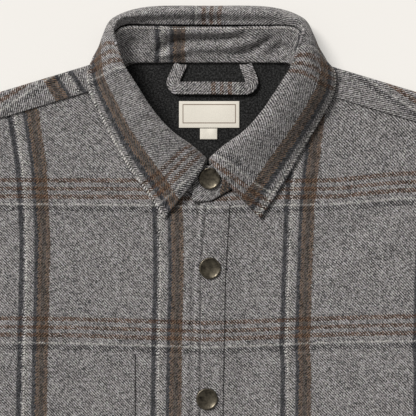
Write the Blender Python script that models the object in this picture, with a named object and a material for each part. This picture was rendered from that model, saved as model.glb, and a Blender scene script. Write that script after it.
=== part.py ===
"""Wool plaid shacket laid flat on its back, with its collar folded and its front snapped shut.

Frame: metres, +Z up, the garment's neck towards +Y, the wearer's right side at -X. The origin lies on the
surface under the middle of the garment's outline.

The tables and most functions work in millimetres on a drawing whose x is the distance from the centre front
and whose y is the height above the back neck seam. build() turns them into metres in the part's frame.
"""

import math

import bmesh
import bpy
import numpy as np

MM = 0.001

# Cloth and the gap that is kept between two pieces
WOOL = 1.6
LINING_WOOL = 1.0
COLLAR_WOOL = 2.2
GAP = 0.35

# Heights above the surface of the middle of each layer
BACK_MID = WOOL / 2
LINING_TOP = WOOL + GAP + LINING_WOOL
FRONT_MID = LINING_TOP + GAP + WOOL / 2
LAP_RISE = WOOL + GAP
YOKE_TOP_MID = FRONT_MID + LAP_RISE
FOLD_RADIUS = (YOKE_TOP_MID - BACK_MID) / 2
SIDE_SEAM_MID = WOOL + GAP + WOOL / 2

# Outline of the body
COLLAR_TOP = 50.4
HEM_LOW = -763.6
ORIGIN_Y = (COLLAR_TOP + HEM_LOW) / 2
NECK_POINT = (76.0, 6.8)
SHOULDER_X = 250.0
SHOULDER_TURN = math.radians(16.8)
PIT = (300.0, -285.0)
HEM_SIDE = (291.0, -716.0)
HEM_LEVEL = 90.0
WAIST = (292.0, -500.0)
BACK_SEAM_Y = -118.0

# Cloth of the yoke past each folded shoulder, and how much of each front lies under it
YOKE_DEPTH = {-1: 23.0, 1: 26.0}
YOKE_LAP = 5.0
NECK_SKEW = 0.50
ARM_SKEW = 0.19

# Edge of the armhole from shoulder to pit: x, y
ARMHOLE = [(250.0, -45.6), (243.5, -105.0), (247.0, -175.0), (266.0, -240.0), PIT]
ARMHOLE_SHARES = np.linspace(0, 1, 9)
ARMHOLE_GAP = 0.55
SIDE_STEPS = 10
NECK_STEPS = 8

# Sleeve sections: outer edge x, y, inner edge x, y, height of the flattened tube
SLEEVE = [
    (330.0, -88.0, 318.0, -314.0, 6.4),
    (405.0, -160.0, 346.0, -353.0, 7.0),
    (465.0, -255.0, 386.0, -408.0, 7.2),
    (520.0, -360.0, 430.0, -475.0, 7.2),
    (578.0, -488.0, 470.0, -541.0, 7.0),
]
SLEEVE_TOP_HEIGHT = 5.4
CUFF_ENDS = [(578.2, -488.4, 470.2, -541.4), (606.8, -546.8, 498.8, -599.8)]
CUFF_HEIGHT = 7.8
CUFF_WALL = 2.2

# Placket band from the hem to the top: y, left edge x, right edge x
PLACKET = [
    (-761.5, -13.5, 13.5),
    (-450.0, -13.5, 13.5),
    (-300.0, -13.0, 13.5),
    (-195.0, -12.5, 15.5),
    (-160.0, -10.5, 17.5),
    (-127.5, -7.0, 19.5),
]
UNDERLAP_INSET = 2.0

# Soft folds raised in the fronts: centre x, y, length, width, direction in degrees, height
FRONT_FOLDS = [
    (-215.0, -250.0, 200.0, 46.0, 38.0, 2.4),
    (-205.0, -350.0, 240.0, 50.0, 62.0, 2.2),
    (212.0, -262.0, 200.0, 46.0, 140.0, 2.4),
    (204.0, -365.0, 240.0, 50.0, 118.0, 2.2),
    (-120.0, -540.0, 260.0, 48.0, 82.0, 2.2),
    (118.0, -570.0, 280.0, 50.0, 99.0, 2.4),
    (-215.0, -610.0, 200.0, 44.0, 96.0, 2.0),
    (210.0, -600.0, 210.0, 44.0, 84.0, 2.0),
]
POCKET_RISE = WOOL + 0.9

# Soft folds in the sleeves, in shares: centre along, across, length, width, direction in degrees, height
SLEEVE_FOLDS = [
    (0.30, 0.78, 0.50, 0.10, 22.0, 3.6),
    (0.45, 0.62, 0.60, 0.09, -12.0, 2.8),
    (0.64, 0.40, 0.45, 0.10, 20.0, 2.6),
    (0.84, 0.55, 0.40, 0.08, 4.0, 2.4),
]

# Collar sections of the wearer's right half, front end to centre back. Each point is x, y, z on the collar's
# neck side, which turns outwards on the leaf: neck seam, seam of stand and leaf, crest of the roll, bulge
# past it, free edge.
COLLAR = [
    ((-2.0, -125.4, 3.8), (-1.6, -93.0, 4.8), (-0.9, -87.2, 11.0),
     (-7.6, -101.2, 17.0), (-39.8, -141.6, 8.0)),
    ((-21.6, -113.8, 5.4), (-18.9, -78.0, 11.5), (-13.8, -75.6, 18.0),
     (-21.0, -83.5, 22.0), (-53.0, -121.5, 8.0)),
    ((-43.2, -95.0, 5.6), (-36.9, -65.0, 17.5), (-32.4, -62.0, 24.0),
     (-39.2, -69.0, 26.4), (-69.6, -98.5, 8.0)),
    ((-60.3, -72.0, 5.6), (-54.0, -46.2, 21.5), (-50.0, -42.2, 27.5),
     (-57.6, -48.0, 29.4), (-83.9, -76.0, 8.3)),
    ((-72.9, -47.7, 6.2), (-67.5, -24.6, 24.0), (-63.9, -20.8, 30.0),
     (-71.5, -26.0, 31.0), (-96.6, -50.4, 9.6)),
    ((-79.6, -27.0, 8.0), (-77.8, -7.2, 26.0), (-74.7, -3.6, 32.0),
     (-82.5, -8.5, 31.4), (-107.1, -27.9, 10.4)),
    ((-78.0, -10.8, 9.4), (-83.0, 9.9, 26.0), (-80.6, 13.5, 31.5),
     (-88.6, 11.7, 29.0), (-109.4, -10.4, 10.8)),
    ((-75.6, -5.0, 9.3), (-85.0, 17.0, 25.5), (-83.0, 21.6, 30.5),
     (-91.6, 20.0, 26.0), (-106.2, -1.4, 10.6)),
    ((-71.8, -1.6, 8.4), (-84.6, 24.0, 24.0), (-84.6, 29.4, 28.6),
     (-93.0, 26.6, 20.5), (-101.6, 5.6, 2.6)),
    ((-65.0, -1.2, 5.8), (-75.0, 31.2, 20.0), (-78.0, 38.6, 24.5),
     (-84.6, 40.0, 12.5), (-82.0, 11.0, 0.0)),
    ((-46.0, -1.0, 5.7), (-52.0, 32.0, 17.0), (-53.4, 43.4, 21.0),
     (-54.8, 49.4, 11.5), (-52.0, 7.4, 0.0)),
    ((0.0, -0.9, 5.7), (0.0, 32.0, 16.0), (0.0, 44.2, 20.0),
     (0.0, 50.4, 11.0), (0.0, 6.6, 0.0)),
]
# For each section, the point between bulge and edge as a share of the way up from the edge and a lift, and
# how much further out the free edge lies on the left half.
COLLAR_FALL = [
    (0.35, 2.2, 8.0),
    (0.35, 2.8, 8.3),
    (0.35, 3.0, 5.7),
    (0.35, 3.2, 4.1),
    (0.35, 3.2, 6.4),
    (0.35, 3.0, 7.0),
    (0.4, 3.0, 6.0),
    (0.45, 2.4, 2.5),
    (0.5, 2.4, 1.5),
    (0.74, 0.0, 0.0),
    (0.8, 0.0, 0.0),
    (0.8, 0.0, 0.0),
]
COLLAR_SECTIONS = 41
STAND_HOLLOW = 1.4
SEAM_SPLIT = 0.05

# How far outside the stand's neck seam the body's neck edge lies, front end first: later it runs under the
# stand
NECK_CLEARANCE = [0.7, 0.7, -1.5, -1.5, -1.5, -1.5, -1.5]
NECK_CENTRE = (0.0, -45.0)

# Lapped ends of the stand. The left band lies on the right one: rise of its first sections, front end first
UPPER_BAND_RISE = [3.3, 2.0, 0.4]
RISE_SHARES = [1.0, 1.0, 1.0, 0.8, 0.6, 0.3, 0.1]
# Each row is a step past the centre: neck seam x, y and stand seam x, y
UPPER_BAND_END = [(-5.5, -125.9, -5.0, -92.0), (-10.5, -125.9, -9.5, -92.8), (-14.6, -125.2, -13.0, -93.6)]
LOWER_BAND_END = [(4.0, -124.4, 3.0, -92.6), (9.0, -121.8, 7.5, -91.0), (13.5, -118.6, 11.5, -88.6)]

# Hanging loop: centre line x, y, and height of the strip's underside above the lining
LOOP = [
    (-24.4, -2.2, 0.4),
    (-27.4, -8.0, 0.9),
    (-30.2, -14.5, 1.6),
    (-31.6, -18.6, 2.0),
    (-29.6, -22.6, 2.2),
    (-24.5, -23.4, 2.2),
    (3.5, -23.4, 2.3),
    (31.5, -23.8, 2.2),
    (37.0, -22.8, 2.2),
    (39.6, -18.8, 2.0),
    (38.4, -13.6, 1.6),
    (36.0, -7.6, 0.9),
    (33.8, -2.2, 0.4),
]
LOOP_WIDTH = 11.4
LOOP_WALL = 1.8
LOOP_END_SKEW = 1.07

# Neck label and the tab under it: left, right, low, high
LABEL = (-26.1, 28.3, -59.3, -35.2)
SIZE_TAB = (-7.2, 8.4, -69.6, -59.8)
LABEL_WALL = 1.0

# Chest pockets: inner edge x, outer edge x, top y, low y, corner cut
POCKETS = {
    "pocket_right": (-65.7, -203.0, -262.0, -416.0, 26.0),
    "pocket_left": (59.9, 197.0, -261.0, -415.0, 26.0),
}

# Snap caps from the collar band to the hem: x, y
SNAPS = [(1.4, -104.9), (1.8, -185.7), (-0.9, -303.3), (0.0, -421.0), (0.0, -538.5), (0.0, -656.0)]
BAND_SNAP_BASE = 10.9
BAND_SNAP_TILT = (0.08, 0.05)
SNAP_RADIUS = 9.8
SNAP_HEIGHT = 1.9
SNAP_RIM = 1.3
SNAP_DISH = 0.9
SNAP_TURNS = 14

# Linear base colour, roughness and metallic value of each finish
FINISHES = {
    "wool": ((0.175, 0.168, 0.164), 0.95, 0.0),
    "lining": ((0.032, 0.031, 0.031), 0.98, 0.0),
    "label": ((0.80, 0.73, 0.60), 0.85, 0.0),
    "snap": ((0.16, 0.14, 0.115), 0.42, 0.9),
}


def smooth_path(points, shares):
    """Catmull-Rom curve through the points, read at shares 0 to 1 that step evenly from point to point."""
    p = np.asarray(points, float)
    ends = np.concatenate([2 * p[:1] - p[1:2], p, 2 * p[-1:] - p[-2:-1]])
    t = np.asarray(shares, float) * (len(p) - 1)
    i = np.clip(t.astype(int), 0, len(p) - 2)
    f = (t - i).reshape(-1, *([1] * (p.ndim - 1)))
    a, b, c, d = ends[i], ends[i + 1], ends[i + 2], ends[i + 3]
    return 0.5 * (2 * b + (c - a) * f + (2 * a - 5 * b + 4 * c - d) * f**2 + (3 * b - a - 3 * c + d) * f**3)


def resample(points, count):
    """The same line read at evenly spaced places."""
    p = np.asarray(points, float)
    run = np.concatenate([[0], np.cumsum(np.linalg.norm(np.diff(p, axis=0), axis=1))])
    at = np.linspace(0, run[-1], count)
    return np.stack([np.interp(at, run, p[:, k]) for k in range(p.shape[1])], axis=-1)


def patch(low, high, left, right):
    """Coons patch inside four edge curves: low and high run left to right, left and right run upwards."""
    low, high, left, right = (np.asarray(e, float) for e in (low, high, left, right))
    u = np.linspace(0, 1, len(low))[:, None, None]
    v = np.linspace(0, 1, len(left))[None, :, None]
    corners = (1 - u) * ((1 - v) * low[0] + v * high[0]) + u * ((1 - v) * low[-1] + v * high[-1])
    return (1 - u) * left[None] + u * right[None] + (1 - v) * low[:, None] + v * high[:, None] - corners


def smoothstep(x, start, end):
    """0 before start, 1 after end, and an S curve between."""
    t = np.clip((np.asarray(x, float) - start) / (end - start), 0, 1)
    return t * t * (3 - 2 * t)


def mirror(points, side):
    """Points drawn at +x, moved to the given side."""
    p = np.array(points, float)
    p[..., 0] *= side
    return p


def ridge(x, y, cx, cy, length, width, degrees, height):
    """A soft fold: a Gaussian across its width that fades out at the ends of its length."""
    c, s = math.cos(math.radians(degrees)), math.sin(math.radians(degrees))
    along = (x - cx) * c + (y - cy) * s
    across = (y - cy) * c - (x - cx) * s
    return height * np.exp(-((across / width) ** 2) - (along / (0.5 * length)) ** 4)


def placket_x(y, column):
    """Edge of the placket band at height y: column 1 is its left edge, column 2 its right one."""
    return np.interp(y, [row[0] for row in PLACKET], [row[column] for row in PLACKET])


def front_mid(side, x, y):
    """Middle height of a front. The left one, side 1, rises over the right one's edge and falls by it."""
    mid = FRONT_MID + sum(ridge(x, y, *fold) for fold in FRONT_FOLDS)
    if side > 0:
        edge = placket_x(y, 2)
        mid = mid + LAP_RISE * (1 - smoothstep(x, edge + 2.0, edge + 16.0))
    return mid


def grid_faces(nu, nv):
    """Quads of a grid of nu by nv points, numbered row by row."""
    i = np.arange(nu - 1)[:, None] * nv
    j = np.arange(nv - 1)[None]
    return np.stack([i + j, i + nv + j, i + nv + j + 1, i + j + 1], axis=-1).reshape(-1, 4)


def wall(first, second):
    """Points and faces of the closed wall between two grids of the same size."""
    nu, nv = first.shape[:2]
    faces = grid_faces(nu, nv)
    index = np.arange(nu * nv).reshape(nu, nv)
    rim = np.concatenate([index[:, 0], index[-1, 1:], index[-2::-1, -1], index[0, -2:0:-1]])
    after = np.roll(rim, -1)
    sides = np.stack([after, rim, rim + nu * nv, after + nu * nv], axis=-1)
    points = np.concatenate([first.reshape(-1, 3), second.reshape(-1, 3)])
    return points, np.concatenate([faces, faces[:, ::-1] + nu * nv, sides])


def flat_wall(grid_xy, mid, thickness):
    """Closed wall of a lying sheet, as thick above its middle heights as below them."""
    z = np.broadcast_to(mid, grid_xy.shape[:2])[..., None]
    return wall(*(np.concatenate([grid_xy, z + side * thickness / 2], axis=-1) for side in (1, -1)))


def tube_wall(outer, inner):
    """Closed wall between an outer and an inner tube, open at their ends and joined there by a ring."""
    nu, nv = outer.shape[:2]
    here = np.arange(nu * nv).reshape(nu, nv)
    after = np.roll(here, -1, axis=1)
    skin = np.stack([here[:-1], after[:-1], after[1:], here[1:]], axis=-1).reshape(-1, 4)
    ends = [np.stack([a, b, b + nu * nv, a + nu * nv], axis=-1)
            for a, b in ((after[0], here[0]), (here[-1], after[-1]))]
    faces = np.concatenate([skin, skin[:, ::-1] + nu * nv, *ends])
    return np.concatenate([outer.reshape(-1, 3), inner.reshape(-1, 3)]), faces


def material(name):
    """The Principled material of one finish, made once."""
    if name in bpy.data.materials:
        return bpy.data.materials[name]
    colour, roughness, metallic = FINISHES[name]
    made = bpy.data.materials.new(name)
    made.use_nodes = True
    shader = made.node_tree.nodes["Principled BSDF"]
    shader.inputs["Base Color"].default_value = (*colour, 1)
    shader.inputs["Roughness"].default_value = roughness
    shader.inputs["Metallic"].default_value = metallic
    return made


def build(name, points, faces, finish):
    """An object made from drawing points, with its faces turned outwards."""
    p = (np.asarray(points, float).reshape(-1, 3) - (0, ORIGIN_Y, 0)) * MM
    mesh = bpy.data.meshes.new(name)
    mesh.from_pydata(p.tolist(), [], [[int(k) for k in face] for face in faces])
    work = bmesh.new()
    work.from_mesh(mesh)
    bmesh.ops.remove_doubles(work, verts=work.verts, dist=0.00001)
    bmesh.ops.recalc_face_normals(work, faces=work.faces)
    work.to_mesh(mesh)
    work.free()
    mesh.shade_smooth()
    mesh.set_sharp_from_angle(angle=math.radians(40))
    mesh.materials.append(material(finish))
    piece = bpy.data.objects.new(name, mesh)
    bpy.context.scene.collection.objects.link(piece)
    return piece


def hem_curve(start, end, count):
    """Shirt-tail hem: low at the centre, rising in an S curve to the side seam."""
    x = np.linspace(start, end, count)
    rise = smoothstep(np.abs(x), HEM_LEVEL, HEM_SIDE[0])
    return np.stack([x, HEM_LOW + (HEM_SIDE[1] - HEM_LOW) * rise], axis=-1)


def side_edge(top_y):
    """Side seam and armhole at +x, from the hem up to the height top_y, with the sleeve's armhole points."""
    waist = smooth_path([HEM_SIDE, WAIST, PIT], np.linspace(0, 1, SIDE_STEPS + 1))
    line = np.concatenate([waist[:-1], smooth_path(ARMHOLE, ARMHOLE_SHARES)[::-1]])
    top = [np.interp(top_y, line[:, 1], line[:, 0]), top_y]
    return np.concatenate([line[line[:, 1] < top_y - 1.0], [top]])


def neck_edge():
    """Neck edge of the body at the wearer's right, centre front to shoulder, off the stand's seam."""
    seam = np.array([row[0][:2] for row in COLLAR[: len(NECK_CLEARANCE)]])
    outward = seam - NECK_CENTRE
    outward /= np.linalg.norm(outward, axis=1, keepdims=True)
    return seam + np.array(NECK_CLEARANCE)[:, None] * outward


def make_back():
    """Back panel: flat on the surface, up to the yoke's back seam."""
    edge = side_edge(BACK_SEAM_Y - GAP)
    low = hem_curve(-HEM_SIDE[0], HEM_SIDE[0], 11)
    high = np.stack([np.linspace(-edge[-1, 0], edge[-1, 0], 11), np.full(11, edge[-1, 1])], axis=-1)
    build("back", *flat_wall(patch(low, high, mirror(edge, -1), edge), BACK_MID, WOOL), "wool")


def fold_over(along, depth, side):
    """Yoke cloth past the start of the shoulder fold.

    along is the distance of a point's fibre from the neck point on the shoulder line. depth is the length of
    cloth past the fold's start: first round half a circle, then forward on the upper layer. The fibres lean
    out along the shoulder by the neck and a little by the armhole.
    """
    c, s = math.cos(SHOULDER_TURN), math.sin(SHOULDER_TURN)
    angle = np.clip(depth / FOLD_RADIUS, 0, math.pi)
    past = np.maximum(depth - math.pi * FOLD_RADIUS, 0)
    inward = WOOL / 2 + FOLD_RADIUS * (1 - np.sin(angle)) + past
    length = (SHOULDER_X - NECK_POINT[0]) / c
    run = along + past * (NECK_SKEW + (ARM_SKEW - NECK_SKEW) * smoothstep(along, 0, length))
    x = NECK_POINT[0] + run * c - inward * s
    y = NECK_POINT[1] - run * s - inward * c
    z = BACK_MID + FOLD_RADIUS * (1 - np.cos(angle)) + 0 * x
    return np.stack([x * side, y, z], axis=-1)


def make_yoke():
    """Yoke: its back part lies on the surface and folds over both shoulders to the forward seams."""
    shoulder = np.linspace((SHOULDER_X - NECK_POINT[0]) / math.cos(SHOULDER_TURN), 0, 8)
    start = fold_over(shoulder, 0 * shoulder, 1)[:, :2]
    neck = smooth_path([start[-1], (66.0, 0.6), (34.0, 0.0), (0.0, 0.0)], np.linspace(0, 1, 7))
    half = np.concatenate([start, neck[1:]])
    high = np.concatenate([mirror(half, -1), half[::-1][1:]])
    arm = side_edge(BACK_SEAM_Y)[-1:]
    above = smooth_path(ARMHOLE, ARMHOLE_SHARES)[::-1]
    above = above[(above[:, 1] > BACK_SEAM_Y + 1.0) & (above[:, 1] < start[0, 1] - 1.0)]
    arm = np.concatenate([arm, above, start[:1]])
    low = np.stack([np.linspace(-arm[0, 0], arm[0, 0], len(high)), np.full(len(high), BACK_SEAM_Y)], axis=-1)
    flat = patch(low, high, mirror(arm, -1), arm)
    points = [np.concatenate([flat, np.full((*flat.shape[:2], 1), BACK_MID)], axis=-1).reshape(-1, 3)]
    faces = [grid_faces(*flat.shape[:2])]
    half_round = math.pi * FOLD_RADIUS
    for side in (-1, 1):
        reach = YOKE_DEPTH[side] - FOLD_RADIUS - WOOL / 2
        depth = np.concatenate([np.linspace(0, half_round, 6), half_round + reach * np.array([0.5, 1.0])])
        strip = fold_over(shoulder[:, None], depth[None], side)
        faces.append(grid_faces(*strip.shape[:2]) + sum(len(p) for p in points))
        points.append(strip.reshape(-1, 3))
    yoke = build("yoke", np.concatenate(points), np.concatenate(faces), "wool")
    thicken = yoke.modifiers.new("cloth", "SOLIDIFY")
    thicken.thickness = WOOL * MM
    thicken.offset = 0
    thicken.use_even_offset = True


def make_lining():
    """Lining inside the neck, from the back neck seam to below the centre front."""
    x = np.linspace(-1, 1, 11)
    high = np.stack([92.0 * x, -1.0 - 14.0 * smoothstep(np.abs(x), 0.70, 1.0)], axis=-1)
    low = np.stack([78.0 * x, -178.0 + 8.0 * x**2], axis=-1)
    side = smooth_path([low[-1], (90.0, -110.0), (94.0, -50.0), high[-1]], np.linspace(0, 1, 7))
    mid = LINING_TOP - LINING_WOOL / 2
    build("lining", *flat_wall(patch(low, high, mirror(side, -1), side), mid, LINING_WOOL), "lining")


def make_front(side):
    """One front panel, lying on the back, with its outer edge brought down to the side seam.

    Its edges are drawn at +x: the lapped edge and the neck edge inside, the hem below, the side seam and the
    armhole outside, and above them the line that lies under the yoke.
    """
    columns = 15
    c, s = math.cos(SHOULDER_TURN), math.sin(SHOULDER_TURN)
    depth = YOKE_DEPTH[side] - YOKE_LAP
    neck = mirror(smooth_path(neck_edge(), np.linspace(0, 1, 40)), -1)
    below = (neck[:, 0] - NECK_POINT[0]) * s + (neck[:, 1] - NECK_POINT[1]) * c < -depth
    top_y = NECK_POINT[1] - (SHOULDER_X - NECK_POINT[0]) * s / c - depth / c
    outer = side_edge(top_y)
    lap_y = np.linspace(HEM_LOW, neck[0, 1] - 0.6, len(outer) - NECK_STEPS)
    lap_x = placket_x(lap_y, 1) if side > 0 else -(placket_x(lap_y, 2) - UNDERLAP_INSET)
    inner = np.concatenate([np.stack([lap_x, lap_y], axis=-1), resample(neck[below], NECK_STEPS)])
    low = hem_curve(inner[0, 0], HEM_SIDE[0], columns)
    high = np.linspace(inner[-1], outer[-1], columns)
    grid = mirror(patch(low, high, inner, outer), side)
    mid = front_mid(side, grid[..., 0], grid[..., 1])
    mid[-1] -= (mid[-1] - SIDE_SEAM_MID) * (grid[-1, :, 1] < PIT[1] + 1.0)
    build("front_left" if side > 0 else "front_right", *flat_wall(grid, mid, WOOL), "wool")


def make_placket():
    """Snap band on the left front's edge, from the collar band to the hem."""
    y = np.linspace(PLACKET[0][0], PLACKET[-1][0], 24)
    left, right = placket_x(y, 1), placket_x(y, 2)
    x = left + (right - left) * np.linspace(0, 1, 3)[:, None]
    grid = np.stack([x, np.broadcast_to(y, x.shape)], axis=-1)
    mid = front_mid(1, grid[..., 0], grid[..., 1]) + LAP_RISE
    build("placket", *flat_wall(grid, mid, WOOL), "wool")


def make_pocket(name):
    """Patch pocket with clipped lower corners, made from the front's own heights and moved out."""
    inner, outer, top, low, cut = POCKETS[name]
    x = np.linspace(min(inner, outer), max(inner, outer), 9)
    share = np.abs(x - (inner + outer) / 2) / (abs(outer - inner) / 2)
    foot = low + cut * np.clip(2 * share - 1, 0, 1)
    y = foot[:, None] + (top - foot[:, None]) * np.linspace(0, 1, 8)
    grid = np.stack([np.broadcast_to(x[:, None], y.shape), y], axis=-1)
    mid = front_mid(math.copysign(1, inner), grid[..., 0], grid[..., 1]) + POCKET_RISE
    build(name, *flat_wall(grid, mid, WOOL), "wool")


def tube_sections(line, shrink, across):
    """Sections of a flattened tube: its points' x, y, share across, height and share of the upper layer.

    line holds a row for each section: outer edge x, y, inner edge x, y, height. A section is a stadium, drawn
    shrink inside its face, flat between two half circles.
    """
    outer, inner, height = line[:, :2], line[:, 2:4], line[:, 4:]
    turn = np.linspace(math.pi / 2, -math.pi / 2, 4)[1:-1]
    radius = height / 2
    width = np.linalg.norm(inner - outer, axis=-1, keepdims=True)
    centre = radius / width
    round_off = (radius - shrink) / width * np.cos(turn)
    flat = across * (1 - 2 * centre) + centre
    share = np.concatenate([flat, 1 - centre + round_off, flat[:, ::-1], centre - round_off], axis=1)
    lift = np.concatenate([np.ones(len(across)), np.sin(turn), -np.ones(len(across)), -np.sin(turn)])
    xy = outer[:, None] + (inner - outer)[:, None] * share[..., None]
    return xy, share, radius + (radius - shrink) * lift, np.clip(lift, 0, 1)


def make_sleeve(side):
    """One sleeve flattened to two layers, laid down and out from its armhole, with folds in the upper one."""
    rows = np.array([(*ARMHOLE[0], *ARMHOLE[-1], SLEEVE_TOP_HEIGHT), *SLEEVE])
    rows[0, [0, 2]] += ARMHOLE_GAP
    line = smooth_path(rows, np.linspace(0, 1, 13))
    along = np.linspace(0, 1, len(line))[:, None]
    skins = []
    for shrink in (0, WOOL):
        xy, share, z, upper = tube_sections(line, shrink, ARMHOLE_SHARES)
        curve = smooth_path(ARMHOLE, np.clip(share[0], 0, 1)) + (ARMHOLE_GAP, 0)
        xy = xy + (curve - xy[0])[None] * np.clip(1 - 2.4 * along, 0, 1)[..., None]
        z = z + upper * sum(ridge(along, share, *fold) for fold in SLEEVE_FOLDS)
        skins.append(mirror(np.concatenate([xy, z[..., None]], axis=-1), side))
    build("sleeve_left" if side > 0 else "sleeve_right", *tube_wall(*skins), "wool")


def make_cuff(side):
    """One cuff: a plain flattened band that continues the sleeve, with a snap cap in its middle."""
    word = "left" if side > 0 else "right"
    ends = np.array(CUFF_ENDS)
    line = np.concatenate([np.linspace(*ends, 4), np.full((4, 1), CUFF_HEIGHT)], axis=1)
    skins = []
    for shrink in (0, CUFF_WALL):
        xy, _, z, _ = tube_sections(line, shrink, np.linspace(0, 1, 5))
        skins.append(mirror(np.concatenate([xy, z[..., None]], axis=-1), side))
    build(f"cuff_{word}", *tube_wall(*skins), "wool")
    centre = ends.reshape(-1, 2).mean(axis=0)
    make_snap(f"cuff_snap_{word}", centre[0] * side, centre[1], CUFF_HEIGHT + GAP)


def collar_net():
    """Control points of the collar's face: a row of seven for each section, from front end to front end."""
    rows = []
    for section, (share, lift, _) in zip(COLLAR, COLLAR_FALL):
        neck, seam, crest, bulge, edge = np.array(section)
        middle = (neck + seam) / 2 - (0, 0, STAND_HOLLOW * smoothstep(neck[1], -20, -1))
        low = edge + (bulge - edge) * share
        low[2] = edge[2] + lift
        rows.append([neck, middle, seam, crest, bulge, low, edge])
    right = np.array(rows)
    left = mirror(right[:-1], -1)
    shift = np.array([row[2] for row in COLLAR_FALL[:-1]])[:, None]
    left[:, 4:, 0] += shift * (0.25, 0.7, 1.0)
    left[: len(UPPER_BAND_RISE), :, 2] += np.outer(UPPER_BAND_RISE, RISE_SHARES)
    return np.concatenate([right, left[::-1]])


def collar_face(sections, columns):
    """Points and unit normals of the collar's face at columns of its net, kept above the surface."""
    nudge = 0.002
    net = collar_net()
    shares = np.linspace(nudge, 1 - nudge, sections)

    def read(along_shift, across_shift):
        along = smooth_path(net, shares + along_shift).transpose(1, 0, 2)
        face = smooth_path(along, np.clip(np.asarray(columns) / 6 + across_shift, 0, 1)).transpose(1, 0, 2)
        face[..., 2] = np.maximum(face[..., 2], 0)
        return face

    normal = np.cross(read(nudge, 0) - read(-nudge, 0), read(0, nudge) - read(0, -nudge))
    return read(0, 0), normal / np.linalg.norm(normal, axis=-1, keepdims=True)


def band_end(row, steps):
    """Sections that lengthen the stand past its first or last section, which keep that section's heights."""
    share = np.linspace(0, 1, len(row))[:, None]
    ends = []
    for step in np.array(steps):
        xy = step[:2] * (1 - share) + step[2:] * share
        ends.append(np.concatenate([xy, row[:, 2:]], axis=1))
    return np.array(ends)


def make_collar():
    """Collar: the stand, with front ends that lap past the centre, and the leaf that rolls over and falls."""
    face, normal = collar_face(COLLAR_SECTIONS, np.linspace(0, 2 - SEAM_SPLIT, 4))
    lower = band_end(face[0], LOWER_BAND_END)[::-1]
    upper = band_end(face[-1], UPPER_BAND_END)
    face = np.concatenate([lower, face, upper])
    normal = np.concatenate([np.repeat(normal[:1], len(lower), axis=0), normal,
                             np.repeat(normal[-1:], len(upper), axis=0)])
    build("collar_stand", *wall(face, face - normal * COLLAR_WOOL), "wool")
    face, normal = collar_face(COLLAR_SECTIONS, np.linspace(2 + SEAM_SPLIT, 6, 14))
    build("collar_leaf", *wall(face, face - normal * COLLAR_WOOL), "wool")


def make_loop():
    """Hanging loop: a flat strip from the neck seam, round two soft corners and back."""
    line = smooth_path(LOOP, np.linspace(0, 1, 31))
    tangent = np.gradient(line[:, :2], axis=0)
    normal = np.stack([-tangent[:, 1], tangent[:, 0]], axis=-1)
    normal /= np.linalg.norm(normal, axis=-1, keepdims=True)
    normal[[0, -1]] = [(LOOP_END_SKEW, 0), (-LOOP_END_SKEW, 0)]
    share = np.linspace(-0.5, 0.5, 3)
    xy = line[:, None, :2] + normal[:, None] * share[None, :, None] * LOOP_WIDTH
    mid = np.repeat((LINING_TOP + line[:, 2] + LOOP_WALL / 2)[:, None], 3, axis=1)
    build("hanging_loop", *flat_wall(xy, mid, LOOP_WALL), "wool")


def make_tag(name, outline):
    """A small flat woven piece on the lining."""
    left, right, low, high = outline
    x, y = np.meshgrid(np.linspace(left, right, 4), np.linspace(low, high, 3), indexing="ij")
    grid = np.stack([x, y], axis=-1)
    build(name, *flat_wall(grid, LINING_TOP + GAP + LABEL_WALL / 2, LABEL_WALL), "label")


def make_snap(name, x, y, base, tilt=(0.0, 0.0)):
    """Snap cap: a turned disc with a rounded rim and a dished face. tilt is its rise along x and along y."""
    profile = [
        (SNAP_RADIUS - 0.5, 0.0),
        (SNAP_RADIUS, 0.7),
        (SNAP_RADIUS - 0.4, SNAP_HEIGHT),
        (SNAP_RADIUS - SNAP_RIM, SNAP_HEIGHT),
        (SNAP_RADIUS * 0.55, SNAP_HEIGHT - SNAP_DISH),
    ]
    angle = np.linspace(0, 2 * math.pi, SNAP_TURNS, endpoint=False)
    circle = np.stack([np.cos(angle), np.sin(angle), 0 * angle], axis=-1)
    rings = [circle * r + (0, 0, h) for r, h in profile]
    centres = [[0, 0, 0], [0, 0, SNAP_HEIGHT - SNAP_DISH - 0.1]]
    points = np.concatenate([*rings, centres]) + (x, y, base)
    points[:, 2] += (points[:, :2] - (x, y)) @ tilt
    here = np.arange(len(profile) * SNAP_TURNS).reshape(len(profile), SNAP_TURNS)
    after = np.roll(here, -1, axis=1)
    faces = np.stack([here[:-1], after[:-1], after[1:], here[1:]], axis=-1).reshape(-1, 4).tolist()
    bottom, top = here.size, here.size + 1
    faces += [[b, a, bottom] for a, b in zip(here[0], after[0])]
    faces += [[a, b, top] for a, b in zip(here[-1], after[-1])]
    build(name, points, faces, "snap")


def make_front_snaps():
    """Snap caps down the front: the first one on the collar band, the others on the placket."""
    for number, (x, y) in enumerate(SNAPS, 1):
        if number == 1:
            make_snap("snap_1", x, y, BAND_SNAP_BASE, BAND_SNAP_TILT)
        else:
            make_snap(f"snap_{number}", x, y, float(front_mid(1, x, y)) + LAP_RISE + WOOL / 2 + GAP)


def main():
    for thing in list(bpy.context.scene.objects):
        bpy.data.objects.remove(thing)
    make_back()
    make_yoke()
    make_lining()
    for side in (-1, 1):
        make_front(side)
        make_sleeve(side)
        make_cuff(side)
    make_placket()
    for name in POCKETS:
        make_pocket(name)
    make_collar()
    make_loop()
    make_tag("label", LABEL)
    make_tag("size_tab", SIZE_TAB)
    make_front_snaps()


main()
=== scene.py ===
"""Looks of a wool plaid shacket that lies on its back with its collar folded, seen from straight above.

The tables are in millimetres on the maker's drawing: x is the distance from the centre front towards the wearer's
left, y the height above the back neck seam and z the height above the surface. lay_out() turns them into metres in
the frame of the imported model. Cloth has a UV map in metres of its own flat cut, which the plaid and weave follow.
"""

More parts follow.
